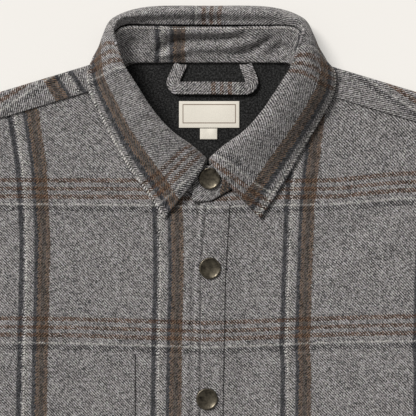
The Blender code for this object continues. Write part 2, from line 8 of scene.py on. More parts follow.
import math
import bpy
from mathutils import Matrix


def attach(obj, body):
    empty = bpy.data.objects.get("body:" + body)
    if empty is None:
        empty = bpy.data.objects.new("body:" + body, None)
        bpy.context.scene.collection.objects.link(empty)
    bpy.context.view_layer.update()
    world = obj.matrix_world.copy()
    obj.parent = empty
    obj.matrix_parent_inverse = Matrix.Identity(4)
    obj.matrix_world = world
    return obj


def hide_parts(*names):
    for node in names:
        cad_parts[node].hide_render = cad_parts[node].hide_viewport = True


bl_info = {
    "name": "Plaid shacket",
    "version": (1, 0, 0),
    "blender": (4, 5, 0),
    "location": "3D View > Sidebar > Shacket",
    "description": "Builds the cloth, trims and stage of a laid-out plaid shacket round its packed solids",
    "category": "Object",
}

import bmesh
import bpy
import numpy as np
from bpy.props import FloatProperty, FloatVectorProperty, PointerProperty

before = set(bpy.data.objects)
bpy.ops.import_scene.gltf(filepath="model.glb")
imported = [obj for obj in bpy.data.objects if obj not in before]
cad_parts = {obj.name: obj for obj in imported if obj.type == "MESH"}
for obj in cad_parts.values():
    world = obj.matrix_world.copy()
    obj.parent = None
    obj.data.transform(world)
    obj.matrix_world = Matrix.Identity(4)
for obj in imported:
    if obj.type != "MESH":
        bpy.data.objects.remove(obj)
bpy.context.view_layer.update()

MM = 0.001

# Cloth, and the gap between two pieces
WOOL = 1.6
LINING_WOOL = 1.0
COLLAR_WOOL = 2.2
GAP = 0.35

# Heights of the middle of each layer
BACK_MID = WOOL / 2
LINING_TOP = WOOL + GAP + LINING_WOOL
FRONT_MID = LINING_TOP + GAP + WOOL / 2
LAP_RISE = WOOL + GAP
YOKE_TOP_MID = FRONT_MID + LAP_RISE
FOLD_RADIUS = (YOKE_TOP_MID - BACK_MID) / 2
SIDE_SEAM_MID = WOOL + GAP + WOOL / 2

# Outline of the body. The skews say how far the yoke's strips lean as they come forward, at neck and arm. The hem
# is flat up to HEM_FLAT. LAP_SHARE is the share of a front's inner edge that its lap takes, below the neck.
COLLAR_TOP = 50.4
HEM_LOW = -763.6
ORIGIN_Y = (COLLAR_TOP + HEM_LOW) / 2
NECK_POINT = (76.0, 6.8)
SHOULDER_X = 250.0
SHOULDER_TURN = math.radians(16.8)
SHOULDER_COS, SHOULDER_SIN = math.cos(SHOULDER_TURN), math.sin(SHOULDER_TURN)
SHOULDER_LENGTH = (SHOULDER_X - NECK_POINT[0]) / SHOULDER_COS
PIT = (300.0, -285.0)
WAIST = (292.0, -500.0)
HEM_SIDE = (291.0, -716.0)
HEM_FLAT = 90.0
NECK_GAP = 0.6
BACK_SEAM_Y = -118.0
YOKE_DEPTH = {-1: 23.0, 1: 26.0}
YOKE_LAP = 5.0
NECK_SKEW = 0.50
ARM_SKEW = 0.19
ARMHOLE = [(250.0, -45.6), (243.5, -105.0), (247.0, -175.0), (266.0, -240.0), PIT]
ARMHOLE_GAP = 0.55
LAP_SHARE = 0.56

# Sleeve sections: outer edge x, y, inner edge x, y, height of the flattened tube
SLEEVE = [
    (330.0, -88.0, 318.0, -314.0, 6.4), (405.0, -160.0, 346.0, -353.0, 7.0),
    (465.0, -255.0, 386.0, -408.0, 7.2), (520.0, -360.0, 430.0, -475.0, 7.2),
    (578.0, -488.0, 470.0, -541.0, 7.0),
]
SLEEVE_TOP_HEIGHT = 5.4
CUFF_ENDS = [(578.2, -488.4, 470.2, -541.4), (606.8, -546.8, 498.8, -599.8)]
CUFF_HEIGHT = 7.8
CUFF_WALL = 2.2

# Placket band from the hem to the top: y, left edge x, right edge x
PLACKET = [
    (-761.5, -13.5, 13.5), (-450.0, -13.5, 13.5), (-300.0, -13.0, 13.5), (-195.0, -12.5, 15.5),
    (-160.0, -10.5, 17.5), (-127.5, -7.0, 19.5),
]
UNDERLAP_INSET = 2.0
# Folds along the placket's left edge: distance from it, width, height
PLACKET_FOLDS = [(-1.4, 1.8, -1.5), (-5.6, 2.2, 1.8), (-9.8, 1.5, -0.9), (3.0, 1.8, 0.8), (6.4, 1.2, -0.6)]
# Heights between which those folds fade, and the left front's slope past the right one's edge
FOLDS_TOP = (-125.0, -110.0)
LAP_SLOPE = (2.0, 16.0)

# Broad folds of the fronts: centre x, y, length, width, direction in degrees, height
FRONT_FOLDS = [
    (-215.0, -250.0, 200.0, 46.0, 38.0, 2.4),
    (-205.0, -350.0, 240.0, 50.0, 62.0, 2.2),
    (212.0, -262.0, 200.0, 46.0, 140.0, 2.4),
    (204.0, -365.0, 240.0, 50.0, 118.0, 2.2),
    (-120.0, -540.0, 260.0, 48.0, 82.0, 2.2),
    (118.0, -570.0, 280.0, 50.0, 99.0, 2.4),
    (-215.0, -610.0, 200.0, 44.0, 96.0, 2.0),
    (210.0, -600.0, 210.0, 44.0, 84.0, 2.0),
]
POCKET_RISE = WOOL + 0.45

# Folds of the sleeves, in shares: centre along, across, length, width, direction in degrees, height
SLEEVE_FOLDS = [
    (0.30, 0.78, 0.50, 0.10, 22.0, 3.6),
    (0.45, 0.62, 0.60, 0.09, -12.0, 2.8),
    (0.64, 0.40, 0.45, 0.10, 20.0, 2.6),
    (0.84, 0.55, 0.40, 0.08, 4.0, 2.4),
]

# Collar sections of the wearer's right half, front end to centre back: neck seam, seam of stand and leaf, crest of
# the roll, bulge past it and free edge, each as x, y, z on the side that shows
COLLAR = [
    ((-2.0, -125.4, 3.8), (-1.6, -93.0, 4.8), (-0.9, -87.2, 11.0), (-7.6, -101.2, 17.0), (-39.8, -141.6, 8.0)),
    ((-21.6, -113.8, 5.4), (-18.9, -78.0, 11.5), (-13.8, -75.6, 18.0), (-21.0, -83.5, 22.0), (-53.0, -121.5, 8.0)),
    ((-43.2, -95.0, 5.6), (-36.9, -65.0, 17.5), (-32.4, -62.0, 24.0), (-39.2, -69.0, 26.4), (-69.6, -98.5, 8.0)),
    ((-60.3, -72.0, 5.6), (-54.0, -46.2, 21.5), (-50.0, -42.2, 27.5), (-57.6, -48.0, 29.4), (-83.9, -76.0, 8.3)),
    ((-72.9, -47.7, 6.2), (-67.5, -24.6, 24.0), (-63.9, -20.8, 30.0), (-71.5, -26.0, 31.0), (-96.6, -50.4, 9.6)),
    ((-79.6, -27.0, 8.0), (-77.8, -7.2, 26.0), (-74.7, -3.6, 32.0), (-82.5, -8.5, 31.4), (-107.1, -27.9, 10.4)),
    ((-78.0, -10.8, 9.4), (-83.0, 9.9, 26.0), (-80.6, 13.5, 31.5), (-88.6, 11.7, 29.0), (-109.4, -10.4, 10.8)),
    ((-75.6, -5.0, 9.3), (-85.0, 17.0, 25.5), (-83.0, 21.6, 30.5), (-91.6, 20.0, 26.0), (-106.2, -1.4, 10.6)),
    ((-71.8, -1.6, 8.4), (-84.6, 24.0, 24.0), (-84.6, 29.4, 28.6), (-93.0, 26.6, 20.5), (-101.6, 5.6, 2.6)),
    ((-65.0, -1.2, 5.8), (-75.0, 31.2, 20.0), (-78.0, 38.6, 24.5), (-84.6, 40.0, 12.5), (-82.0, 11.0, 0.0)),
    ((-46.0, -1.0, 5.7), (-52.0, 32.0, 17.0), (-53.4, 43.4, 21.0), (-54.8, 49.4, 11.5), (-52.0, 7.4, 0.0)),
    ((0.0, -0.9, 5.7), (0.0, 32.0, 16.0), (0.0, 44.2, 20.0), (0.0, 50.4, 11.0), (0.0, 6.6, 0.0)),
]
# For each section, the point between bulge and edge as a share of the way up and a lift, and how much further out
# the free edge lies on the left half
COLLAR_FALL = [
    (0.35, 2.2, 8.0), (0.35, 2.8, 8.3), (0.35, 3.0, 5.7), (0.35, 3.2, 4.1), (0.35, 3.2, 6.4),
    (0.35, 3.0, 7.0), (0.4, 3.0, 6.0), (0.45, 2.4, 2.5), (0.5, 2.4, 1.5), (0.74, 0.0, 0.0), (0.8, 0.0, 0.0),
    (0.8, 0.0, 0.0),
]
STAND_HOLLOW = 1.4
HOLLOW_FADE = (-20.0, -1.0)
# How much fuller the left half of the leaf lies: its shift out at the bulge, below it and at the edge, in shares of
# the edge's, and more outward at the bulge, and upward below it
FALL_SHARES = (0.25, 0.7, 1.0)
LEFT_BULGE = [0.0, 0.0, 1.0, 2.5, 4.0, 4.0, 2.5, 1.0, 0.0, 0.0, 0.0]
LEFT_LIFT = [0.0, 1.5, 4.0, 6.5, 8.0, 8.0, 5.0, 2.0, 0.0, 0.0, 0.0]
NECK_CLEARANCE = [0.7, 0.7, -1.5, -1.5, -1.5, -1.5, -1.5]
NECK_CENTRE = (0.0, -45.0)
UPPER_BAND_RISE = [3.3, 2.0, 0.4]
RISE_SHARES = [1.0, 1.0, 1.0, 0.8, 0.6, 0.3, 0.1]
UPPER_BAND_END = [(-5.5, -125.9, -5.0, -92.0), (-10.5, -125.9, -9.5, -92.8), (-14.6, -125.2, -13.0, -93.6)]
LOWER_BAND_END = [(4.0, -124.4, 3.0, -92.6), (9.0, -121.8, 7.5, -91.0), (13.5, -118.6, 11.5, -88.6)]

# Hanging loop: centre line x, y, and height of the strip's underside above the lining
LOOP = [
    (-24.4, -2.2, 0.4), (-27.4, -8.0, 0.9), (-30.2, -14.5, 1.6), (-31.6, -18.6, 2.0), (-29.6, -22.6, 2.2),
    (-24.5, -23.4, 2.2), (3.5, -23.4, 2.3), (31.5, -23.8, 2.2), (37.0, -22.8, 2.2), (39.6, -18.8, 2.0),
    (38.4, -13.6, 1.6), (36.0, -7.6, 0.9), (33.8, -2.2, 0.4),
]
LOOP_WIDTH = 11.4
LOOP_WALL = 1.8
LOOP_END_SKEW = 1.07

# Neck label and the tab under it: left, right, low, high
LABEL = (-26.1, 28.3, -59.3, -35.2)
SIZE_TAB = (-7.2, 8.4, -69.6, -59.8)
LABEL_WALL = 1.0
LABEL_PILLOW = 0.35
LABEL_LEAN = 0.25
LABEL_FRAME = {"side": 3.2, "top": 2.7, "foot": 4.1, "line": 0.8}

# Chest pockets: inner edge x, outer edge x, top y, low y, corner cut
POCKETS = {
    "pocket_right": (-65.7, -203.0, -262.0, -416.0, 26.0),
    "pocket_left": (59.9, 197.0, -261.0, -415.0, 26.0),
}

# Snap caps: x, y
SNAPS = [(1.4, -104.9), (1.8, -185.7), (-0.9, -303.3), (0.0, -421.0), (0.0, -538.5), (0.0, -656.0)]
BAND_SNAP_BASE = 10.9
BAND_SNAP_TILT = (0.08, 0.05)
SNAP_RADIUS = 9.8
CUFF_SNAP_LIFT = 0.1

# Plaid stripes across the cloth, from the white stripe's middle: start, end, thread
WARP_REPEAT = 119.7
WARP = [
    (-6.5, -1.9, "dark"), (-0.9, 0.9, "white"), (0.9, 4.4, "pale"), (7.4, 10.4, "dark"),
    (10.4, 14.0, "brown"), (14.0, 17.4, "umber"), (17.4, 21.4, "brown"),
]
# Plaid stripes along the cloth, downwards from the thin white line
WEFT_REPEAT = 126.0
WEFT = [
    (-23.7, -19.9, "rust"), (-16.2, -12.4, "rust"), (-8.9, -5.1, "rust"), (-0.5, 0.5, "chalk"),
    (1.5, 6.1, "dark"),
]

# How much more of a stripe's own thread shows than on the ground
SHOWN = {"pale": 0.0, "dark": 0.5, "brown": 0.5, "umber": 0.5, "white": 1.0, "chalk": 1.0, "rust": 1.0}

# Where the white stripes lie on the fronts: y, x of the outer one, x of the inner one, for each side
WARP_PLACES = {
    -1: [
        (-318.6, -166.5, -45.5), (-250.2, -165.2, -44.6), (-214.7, -164.3, -43.6), (-187.2, -163.8, -43.2),
        (-160.2, -163.4, -43.4), (-131.4, -164.7, -44.1), (-93.6, -167.0, -45.0), (-49.5, -174.1, -47.0),
        (0.0, -185.0, -50.0),
    ],
    1: [
        (-318.6, 190.8, 71.1), (-274.5, 191.3, 71.6), (-254.7, 189.9, 70.2), (-233.1, 191.3, 71.6),
        (-203.4, 191.7, 72.0), (-167.4, 193.1, 73.4), (-131.4, 194.4, 74.7), (-111.6, 196.2, 76.5),
        (-55.0, 203.0, 83.0), (0.0, 208.0, 88.0),
    ],
}
# How the upper and the lower white line lie over the fronts: x, y of the upper one, y of the lower one
WEFT_PLACES = [
    (-300.0, -127.0, -251.0), (-187.0, -127.6, -252.0), (-120.0, -128.0, -252.9), (-66.0, -128.4, -254.7),
    (0.0, -130.5, -256.5), (40.0, -129.0, -255.1), (114.0, -127.8, -252.0), (169.0, -122.8, -251.1),
    (300.0, -119.0, -249.0),
]

# Small creases, each as height, width and a line of x, y: on the fronts, the yoke's front strips, the stand, and the
# leaf below and above its roll
BODY_CREASES = [
    (-0.9, 3.2, [(-150.0, -96.0), (-128.0, -118.0), (-112.0, -150.0)]),
    (0.8, 4.5, [(-178.0, -120.0), (-160.0, -160.0), (-152.0, -205.0)]),
    (-0.8, 3.6, [(150.0, -92.0), (128.0, -122.0), (120.0, -158.0)]),
    (0.8, 4.5, [(176.0, -128.0), (160.0, -170.0), (158.0, -215.0)]),
    (0.7, 5.0, [(-60.0, -188.0), (-72.0, -222.0), (-74.0, -262.0)]),
    (0.7, 5.0, [(62.0, -182.0), (80.0, -212.0), (86.0, -250.0)]),
    (-1.8, 10.0, [(176.0, -122.0), (150.0, -138.0), (120.0, -160.0), (92.0, -181.0), (70.0, -200.0)]),
    (1.2, 9.0, [(170.0, -152.0), (146.0, -168.0), (118.0, -190.0), (100.0, -208.0)]),
    (0.9, 6.0, [(-190.0, -430.0), (-150.0, -490.0), (-140.0, -560.0)]),
    (0.9, 6.0, [(188.0, -440.0), (156.0, -500.0), (150.0, -580.0)]),
]
YOKE_CREASES = [
    (0.5, 3.0, [(-104.0, -22.0), (-150.0, -34.0), (-196.0, -47.0)]),
    (0.5, 3.0, [(108.0, -22.0), (150.0, -33.0), (196.0, -47.0)]),
]
STAND_CREASES = [
    (-2.8, 7.0, [(-76.0, 2.0), (-71.0, 12.0), (-60.0, 20.0)]),
    (2.8, 4.0, [(-62.0, -3.0), (-46.0, 3.0), (-30.0, 8.5), (-12.0, 12.5), (10.0, 13.0), (30.0, 15.5),
                (52.0, 22.0)]),
    (-3.0, 3.0, [(-60.0, 8.0), (-48.6, 10.0), (-34.2, 16.0), (-25.2, 19.5), (0.0, 20.2), (15.3, 20.6),
                 (40.0, 24.0)]),
    (2.6, 3.6, [(-50.0, 19.0), (-40.0, 26.0), (-12.0, 27.0), (16.0, 27.0), (40.0, 29.5)]),
    (2.6, 4.0, [(-48.0, 30.0), (-47.0, 22.0), (-50.0, 12.0), (-56.0, 4.0)]),
    (-3.4, 3.2, [(16.0, 4.0), (34.0, 8.0), (48.6, 15.5), (62.3, 24.3)]),
    (-2.8, 6.0, [(52.0, 2.0), (62.0, 10.0), (70.0, 17.0)]),
]
LEAF_CREASES = [
    (-1.4, 2.4, [(-58.0, -49.4), (-46.0, -54.0), (-34.0, -58.0)]),
    (0.9, 5.0, [(-66.0, -44.0), (-54.0, -46.0), (-40.0, -50.0)]),
]
ROLL_CREASES = [
    (-4.0, 5.5, [(-88.0, 28.0), (-68.0, 34.0), (-45.0, 35.5), (-20.0, 36.0), (14.0, 36.0)]),
    (-2.6, 5.0, [(-20.0, 36.0), (30.0, 36.0), (56.0, 35.5), (74.0, 32.0)]),
]

# How far a stripe's edge wanders with the noise and differs from thread to thread
STRIPE_WANDER = 1.4
STRIPE_RAGGED = 1.5
# How deep a stitch line sinks, what share of that a pocket's does, and how wide its groove is on each piece
STITCH_SINK = 0.35
POCKET_SINK = 0.6
GROOVE = {"placket": 1.3, "pocket": 1.6, "loop": 0.9}
# Shortest cut of a sheet, which is the tab's with the part that is tucked away
SMALLEST_CUT = 11.8

# Where each other piece lies in the plaid: across, along. The stand's plaid is eased by STAND_EASE up to the x of
# STAND_EASED.
PLACKET_SHIFT = 60.0
BACK_SHIFT = (20.0, 4.0)
YOKE_WHITE = (-128.7, -11.25)
SLEEVE_SHIFT = (10.0, -30.0)
CUFF_SHIFT = (10.0, -68.0)
STAND_SHIFT = (44.0, 40.0)
STAND_EASE = 11.0
STAND_EASED = 60.0
LOOP_SHIFT = (60.0, 79.0)
# How far the leaf's white stripe lies from its free edge: share along the collar, distance
LEAF_WHITE = [(0.0, 1.6), (0.15, 1.9), (0.25, 1.2), (0.5, 1.2), (0.6, 1.8), (0.8, 2.2), (0.87, 3.0), (0.94, 4.4),
              (1.0, 5.0)]
# The leaf's white stripe is drawn wider within WHITE_REACH of its middle. The pale ground beside it is PALE_WIDTH
# narrower, between PALE_START and PALE_END, and catches up over PALE_REACH.
WHITE_REACH = 3.4
PALE_WIDTH = 3.4
PALE_START = 1.0
PALE_END = 1.4
PALE_REACH = 10.0
# Where the leaf's cross lines lie: distance from the centre back along the crest, the same along the free edge, and
# place in the cloth
LEAF_PLACES = [
    (-252.2, -275.1, -138.6), (-241.0, -262.1, -126.0), (-128.7, -132.2, 0.0), (-10.3, -10.3, 126.0),
    (111.0, 118.0, 252.0), (236.0, 251.0, 378.0), (262.0, 277.8, 404.0),
]

# Snap cap: width and half height of its rim, how deep it sinks, and past the rim its share of the radius and height
SNAP_RIM = (0.9, 0.95)
SNAP_SINK = 0.25
SNAP_DISH = [(0.90, 1.90), (0.86, 1.84), (0.82, 1.62), (0.79, 1.42), (0.74, 1.28), (0.60, 0.98), (0.40, 0.72),
             (0.20, 0.58), (0.08, 0.55), (0.0, 0.55)]

# Width of a front's slope down to its side seam and of the yoke's strip from its fold to its full waves, height of
# the waves on yoke and sleeves as a share of the fronts', and the yoke's turned edge as a share of the cloth
SIDE_SLOPE = 14.0
YOKE_SETTLE = 8.0
YOKE_WAVE = 0.8
YOKE_EDGE = 0.45
SLEEVE_WAVE = 1.3
# Over what share of a sleeve, as 1 / share, its armhole curve fades out
ARMHOLE_FADE = 2.4
# Back neck of the yoke, from beside the neck point to the centre
YOKE_NECK = [(66.0, 0.6), (34.0, 0.0), (0.0, 0.0)]

# Lining at +x: half widths of its top and low edge, points of its side between them, and each edge's height with
# how far its end falls or rises
LINING_HALF = (92.0, 78.0)
LINING_SIDE = [(90.0, -110.0), (94.0, -50.0)]
LINING_EDGES = ((-1.0, -14.0), (-178.0, 8.0))

# Columns of the collar's net: the stand's end, the leaf's start, the roll's crest and the free edge, and where
# creases fade in on the stand and pass from the roll to the leaf
STAND_END = 1.97
LEAF_START = 2.03
CREST = 3.0
FREE_EDGE = 6.0
STAND_FADE = (0.0, 0.5)
ROLL_FADE = (3.0, 3.6)

# Insets of the stitch lines: from the placket's edges, a pocket's sides, mouth and foot and to its hem line, the
# hem, the armhole, the yoke's front edge and the loop's edges; shares across a cuff, and columns of the collar's
# net, of which the middle one carries the line
PLACKET_SEAMS = (6.0, -2.2)
POCKET_SEAM = 3.0
POCKET_TOP_SEAM = 2.0
POCKET_FOOT_SEAM = 3.5
POCKET_HEM = 22.0
HEM_SEAM = 9.0
ARM_SEAM = 6.0
YOKE_SEAM = 2.6
LOOP_SEAM = 2.0
CUFF_SEAMS = (0.10, 0.90)
SEAM_COLUMNS = [1.84, 1.86, 1.88]

# Stitches: gap as a share of their length, radius on seams and on the collar, how much shorter they are there, and
# their outline as place along, size and drop
STITCH_GAP = 0.45
STITCH_RADIUS = 0.32
COLLAR_STITCH_RADIUS = 0.5
COLLAR_STITCH = 0.7
STITCH_SIDES = 6
STITCH_OUTLINE = [(-0.5, 0.35, -0.6), (-0.3, 0.95, -0.1), (0.3, 0.95, -0.1), (0.5, 0.35, -0.6)]

# Points of a patch across and along it: count, rough length and rim
SPACING = {
    "back": ((60, 600.0, 1.0), (60, 640.0, 1.0)),
    "pocket": ((50, 137.0, 1.4), (56, 150.0, 1.4)),
    "lining": ((60, 180.0, 0.6), (60, 170.0, 0.6)),
    "leaf": ((280, 520.0, COLLAR_WOOL), (60, 75.0, COLLAR_WOOL)),
}

# Noise of the wool, each as scale, detail and roughness
WOOL_NOISE = {
    "wobble": (330.0, 3.0, 0.5),
    "flecks": (1050.0, 2.0, 0.6),
    "clouds": (60.0, 3.0, 0.5),
    "patches": (190.0, 2.0, 0.5),
    "fuzz": (1300.0, 2.0, 0.5),
}
# How much each cause adds to the share of the thread along the cloth, to the lightness and to the height
WOOL_SHOWS = {"line": 0.75, "flecks": 1.6, "chance": 0.7, "warp_own": 0.5, "weft_own": -0.45}
WOOL_LIGHT = {"chance": 1.5, "flecks": 2.6, "clouds": 0.5, "patches": 0.4, "line": 0.5}
WOOL_HEIGHT = {"line": 0.5, "chance": 0.8, "fuzz": 1.2, "flecks": 1.6}
# The twill turns where a stripe's own thread shows by more than this. A twill line and a thread's floats bend with
# the wobble, and each half line starts its floats a little further on. No thread is darker than DARKEST times its
# colour, and TINT is the share of its random tint.
TURNED = 0.25
LINE_BEND = 0.15
FLOAT_BEND = 0.4
FLOAT_STEP = 0.37
DARKEST = 0.12
TINT = 0.10

# Half the floor's side and the camera's sensor in mm, and the height in metres at which the picture has its width
FLOOR_HALF = 15000.0
SENSOR = 36.0
CLOTH_LEVEL = 0.006


def tone(red, green, blue):
    """Linear colour of screen values 0 to 255."""
    v = np.array([red, green, blue]) / 255
    return tuple(float(x) for x in np.where(v <= 0.04045, v / 12.92, ((v + 0.055) / 1.055) ** 2.4))


def hue(name, description, *screen):
    """A colour property, whose default is given in screen values."""
    return FloatVectorProperty(name=name, description=description, default=tone(*screen), min=0, max=1,
                               subtype="COLOR")


def metres(name, description, default, low=0.0):
    """A length property in metres, with its least value."""
    return FloatProperty(name=name, description=description, default=default, min=low, unit="LENGTH")


def bearing(name, description, degrees):
    """An angle property, whose default is given in degrees."""
    return FloatProperty(name=name, description=description, default=math.radians(degrees), subtype="ANGLE")


def amount(name, description, default, low=0.0):
    """A property that is a plain number, with its least value."""
    return FloatProperty(name=name, description=description, default=default, min=low)


class ShacketCloth(bpy.types.PropertyGroup):
    """Sizes of the cloth."""

    twill_pitch: metres("Twill pitch", "Distance between two twill lines", 0.0018, 0.0005)
    twill_relief: metres("Twill relief", "Height of the twill lines", 0.00030)
    wave: metres("Wave", "Height of the soft waves in the laid cloth", 0.0008)
    float_length: metres("Float", "Length of one thread between its crossings", 0.0012, 0.0003)
    rim: metres("Rim", "Width of the turned edges", 0.0016, 0.0002)
    stitch: metres("Stitch", "Length of one stitch", 0.0024, 0.0005)


class ShacketPlaid(bpy.types.PropertyGroup):
    """Colours of the plaid's threads."""

    warp: hue("Warp", "Ground threads along the cloth", 136, 132, 131)
    weft: hue("Weft", "Ground threads across the cloth", 104, 102, 103)
    dark: hue("Dark", "Dark stripes", 50, 50, 53)
    white: hue("White", "White stripes", 170, 166, 162)
    pale: hue("Pale", "Pale ground beside the white stripes", 144, 140, 137)
    brown: hue("Brown", "Brown stripes along the cloth", 91, 74, 61)
    umber: hue("Umber", "Dark stripe between the brown ones", 70, 60, 52)
    chalk: hue("Chalk", "Thin white line across the cloth", 168, 165, 161)
    rust: hue("Rust", "Brown stripes across the cloth", 82, 58, 42)
    heather: amount("Heather", "How much the threads differ in lightness", 1.0)


class ShacketTrims(bpy.types.PropertyGroup):
    """Colours of the lining, label, snaps and thread, whose two colours carry painted shade and a painted highlight.
    """

    lining: hue("Lining", "Brushed lining", 31, 31, 31)
    label: hue("Label", "Woven neck label", 235, 229, 216)
    label_line: hue("Label line", "Frame line of the label", 110, 86, 68)
    metal: hue("Snap metal", "Raised metal of the snap caps", 132, 124, 108)
    patina: hue("Patina", "Darkened metal of the snap caps", 44, 41, 37)
    # Painted shade: the sewing thread's grey is set darker than its own, so that its sunken stitch lines show the
    # shade that falls in them.
    thread: hue("Thread", "Sewing thread", 78, 75, 73)
    # Painted highlight: on the collar stand's seam the thread's own grey is set much paler, for the light that the
    # stitches catch on that ridge.
    collar_thread: hue("Collar thread", "Sewing thread of the collar stand", 186, 182, 176)


class ShacketStage(bpy.types.PropertyGroup):
    """The floor, the lights and the camera."""

    floor: hue("Floor", "Colour of the surface", 180, 177, 173)
    glow: FloatVectorProperty(name="Glow", description="Light that the surface gives off, as a lit table does",
                              subtype="COLOR", default=(0.45, 0.44, 0.42), min=0, max=1)
    key: amount("Key light", "Strength of the key light", 3.35)
    key_height: bearing("Key height", "Height of the key light over the horizon", 41)
    key_side: bearing("Key side", "Where the key light stands, from +X round towards +Y", 133)
    key_size: bearing("Key size", "How wide the key light looks from the cloth", 22)
    fill: amount("Fill light", "Strength of the light from all round", 0.29)
    lens: amount("Lens", "Focal length of the camera in millimetres", 400.0, 20.0)
    field: metres("Field", "Width of the picture on the cloth", 0.3744, 0.1)
    centre_y: metres("Centre", "Place of the picture's middle along the garment", 0.2252, -1.0)


class Wire:
    """One output socket of a shader. Sums and products of wires and numbers add Math nodes."""

    def __init__(self, tree, socket=None):
        self.tree = tree
        self.socket = socket

    def add(self, kind, settings=None, inputs=None, output=0):
        """A new node: its settings, or a ramp's stops, are set first, then its inputs, and one output comes back."""
        node = self.tree.nodes.new(kind)
        for name, value in (settings or {}).items():
            if name == "stops":
                fill_ramp(node.color_ramp, value)
            else:
                setattr(node, name, value)
        for key, value in (inputs or {}).items():
            if isinstance(value, Wire):
                self.tree.links.new(value.socket, node.inputs[key])
            else:
                node.inputs[key].default_value = value
        return Wire(self.tree, node.outputs[output])

    def twin(self, output):
        """Another output of this wire's node."""
        return Wire(self.tree, self.socket.node.outputs[output])

    def maths(self, operation, *others):
        """A Math node on this wire and others."""
        return self.add("ShaderNodeMath", {"operation": operation}, dict(enumerate((self, *others))))

    def clamp(self):
        """This value kept between 0 and 1."""
        return self.maths("MINIMUM", 1.0).maths("MAXIMUM", 0.0)

    def mix(self, low, high):
        """Colour between two colours, by this factor."""
        return self.add("ShaderNodeMix", {"data_type": "RGBA"}, {0: self, 6: low, 7: high}, 2)

    def blend(self, kind, share, other):
        """This colour blended with another one by a share."""
        settings = {"data_type": "RGBA", "blend_type": kind}
        return self.add("ShaderNodeMix", settings, {0: share, 6: self, 7: other}, 2)

    def split(self):
        """The first two parts of this vector."""
        first = self.add("ShaderNodeSeparateXYZ", None, {0: self})
        return first, first.twin(1)

    def grey(self):
        """Grey of this lightness."""
        return self.add("ShaderNodeCombineXYZ", None, {0: self, 1: self, 2: self})

    def noise(self, scale, detail=2.0, roughness=0.5):
        """Noise from 0 to 1 at this place."""
        return self.add("ShaderNodeTexNoise", None, {"Vector": self, "Scale": scale, "Detail": detail,
                                                     "Roughness": roughness})

    def stripes(self, stops):
        """Colour of a ramp at this value's fraction. Its twin 1 says how much more of a stripe's own thread shows."""
        return self.add("ShaderNodeValToRGB", {"stops": stops}, {0: self.maths("FRACT")})

    def bump(self, strength, distance):
        """Normal bent by this height."""
        return self.add("ShaderNodeBump", None, {"Strength": strength, "Distance": distance, "Height": self})

    def __add__(self, other):
        return self.maths("ADD", other)

    def __sub__(self, other):
        return self.maths("SUBTRACT", other)

    def __rsub__(self, other):
        return self.add("ShaderNodeMath", {"operation": "SUBTRACT"}, {0: other, 1: self})

    def __mul__(self, other):
        return self.maths("MULTIPLY", other)

    def __truediv__(self, other):
        return self.maths("DIVIDE", other)

    __radd__ = __add__
    __rmul__ = __mul__


def fill_ramp(ramp, stops):
    """Gives a colour ramp its stops, each with a place and a colour, held up to the next stop."""
    ramp.interpolation = "CONSTANT"
    while len(ramp.elements) < len(stops):
        ramp.elements.new(1.0)
    for element, (place, colour) in zip(ramp.elements, stops):
        element.position = place
        element.color = colour


def weigh(shares, **causes):
    """Sum of the causes, each times its share."""
    return sum(causes[name] * share for name, share in shares.items())


def opaque(colour, share=1.0):
    """A colour times a share, with full alpha."""
    return (*(share * x for x in colour), 1)


def new_material(name, on_cloth, **constants):
    """A material whose shader's constant sockets are set, and the place that its pattern follows: the cloth's own
    UV map in metres, or else Object coordinates."""
    made = bpy.data.materials.new(name)
    made.use_nodes = True
    for key, value in constants.items():
        made.node_tree.nodes["Principled BSDF"].inputs[key.replace("_", " ")].default_value = value
    start = Wire(made.node_tree)
    if on_cloth:
        return made, start.add("ShaderNodeUVMap", {"uv_map": "cloth"})
    return made, start.add("ShaderNodeTexCoord", None, None, 3)


def dress(material, **wires):
    """The material, with sockets of its shader fed by wires."""
    for key, wire in wires.items():
        wire.tree.links.new(wire.socket, wire.tree.nodes["Principled BSDF"].inputs[key.replace("_", " ")])
    return material


def stripe_stops(stripes, repeat, ground, plaid):
    """Ramp stops of a stripe table over one repeat that starts half way between two sets.

    Alpha says how much more of the stripe's own thread shows. Where it is large, the twill turns the other way.
    """
    stops = [(0.0, (*ground, 0.0))]
    for start, end, thread in stripes:
        stops.append((start / repeat + 0.5, (*getattr(plaid, thread), SHOWN[thread])))
        stops.append((end / repeat + 0.5, (*ground, 0.0)))
    return stops


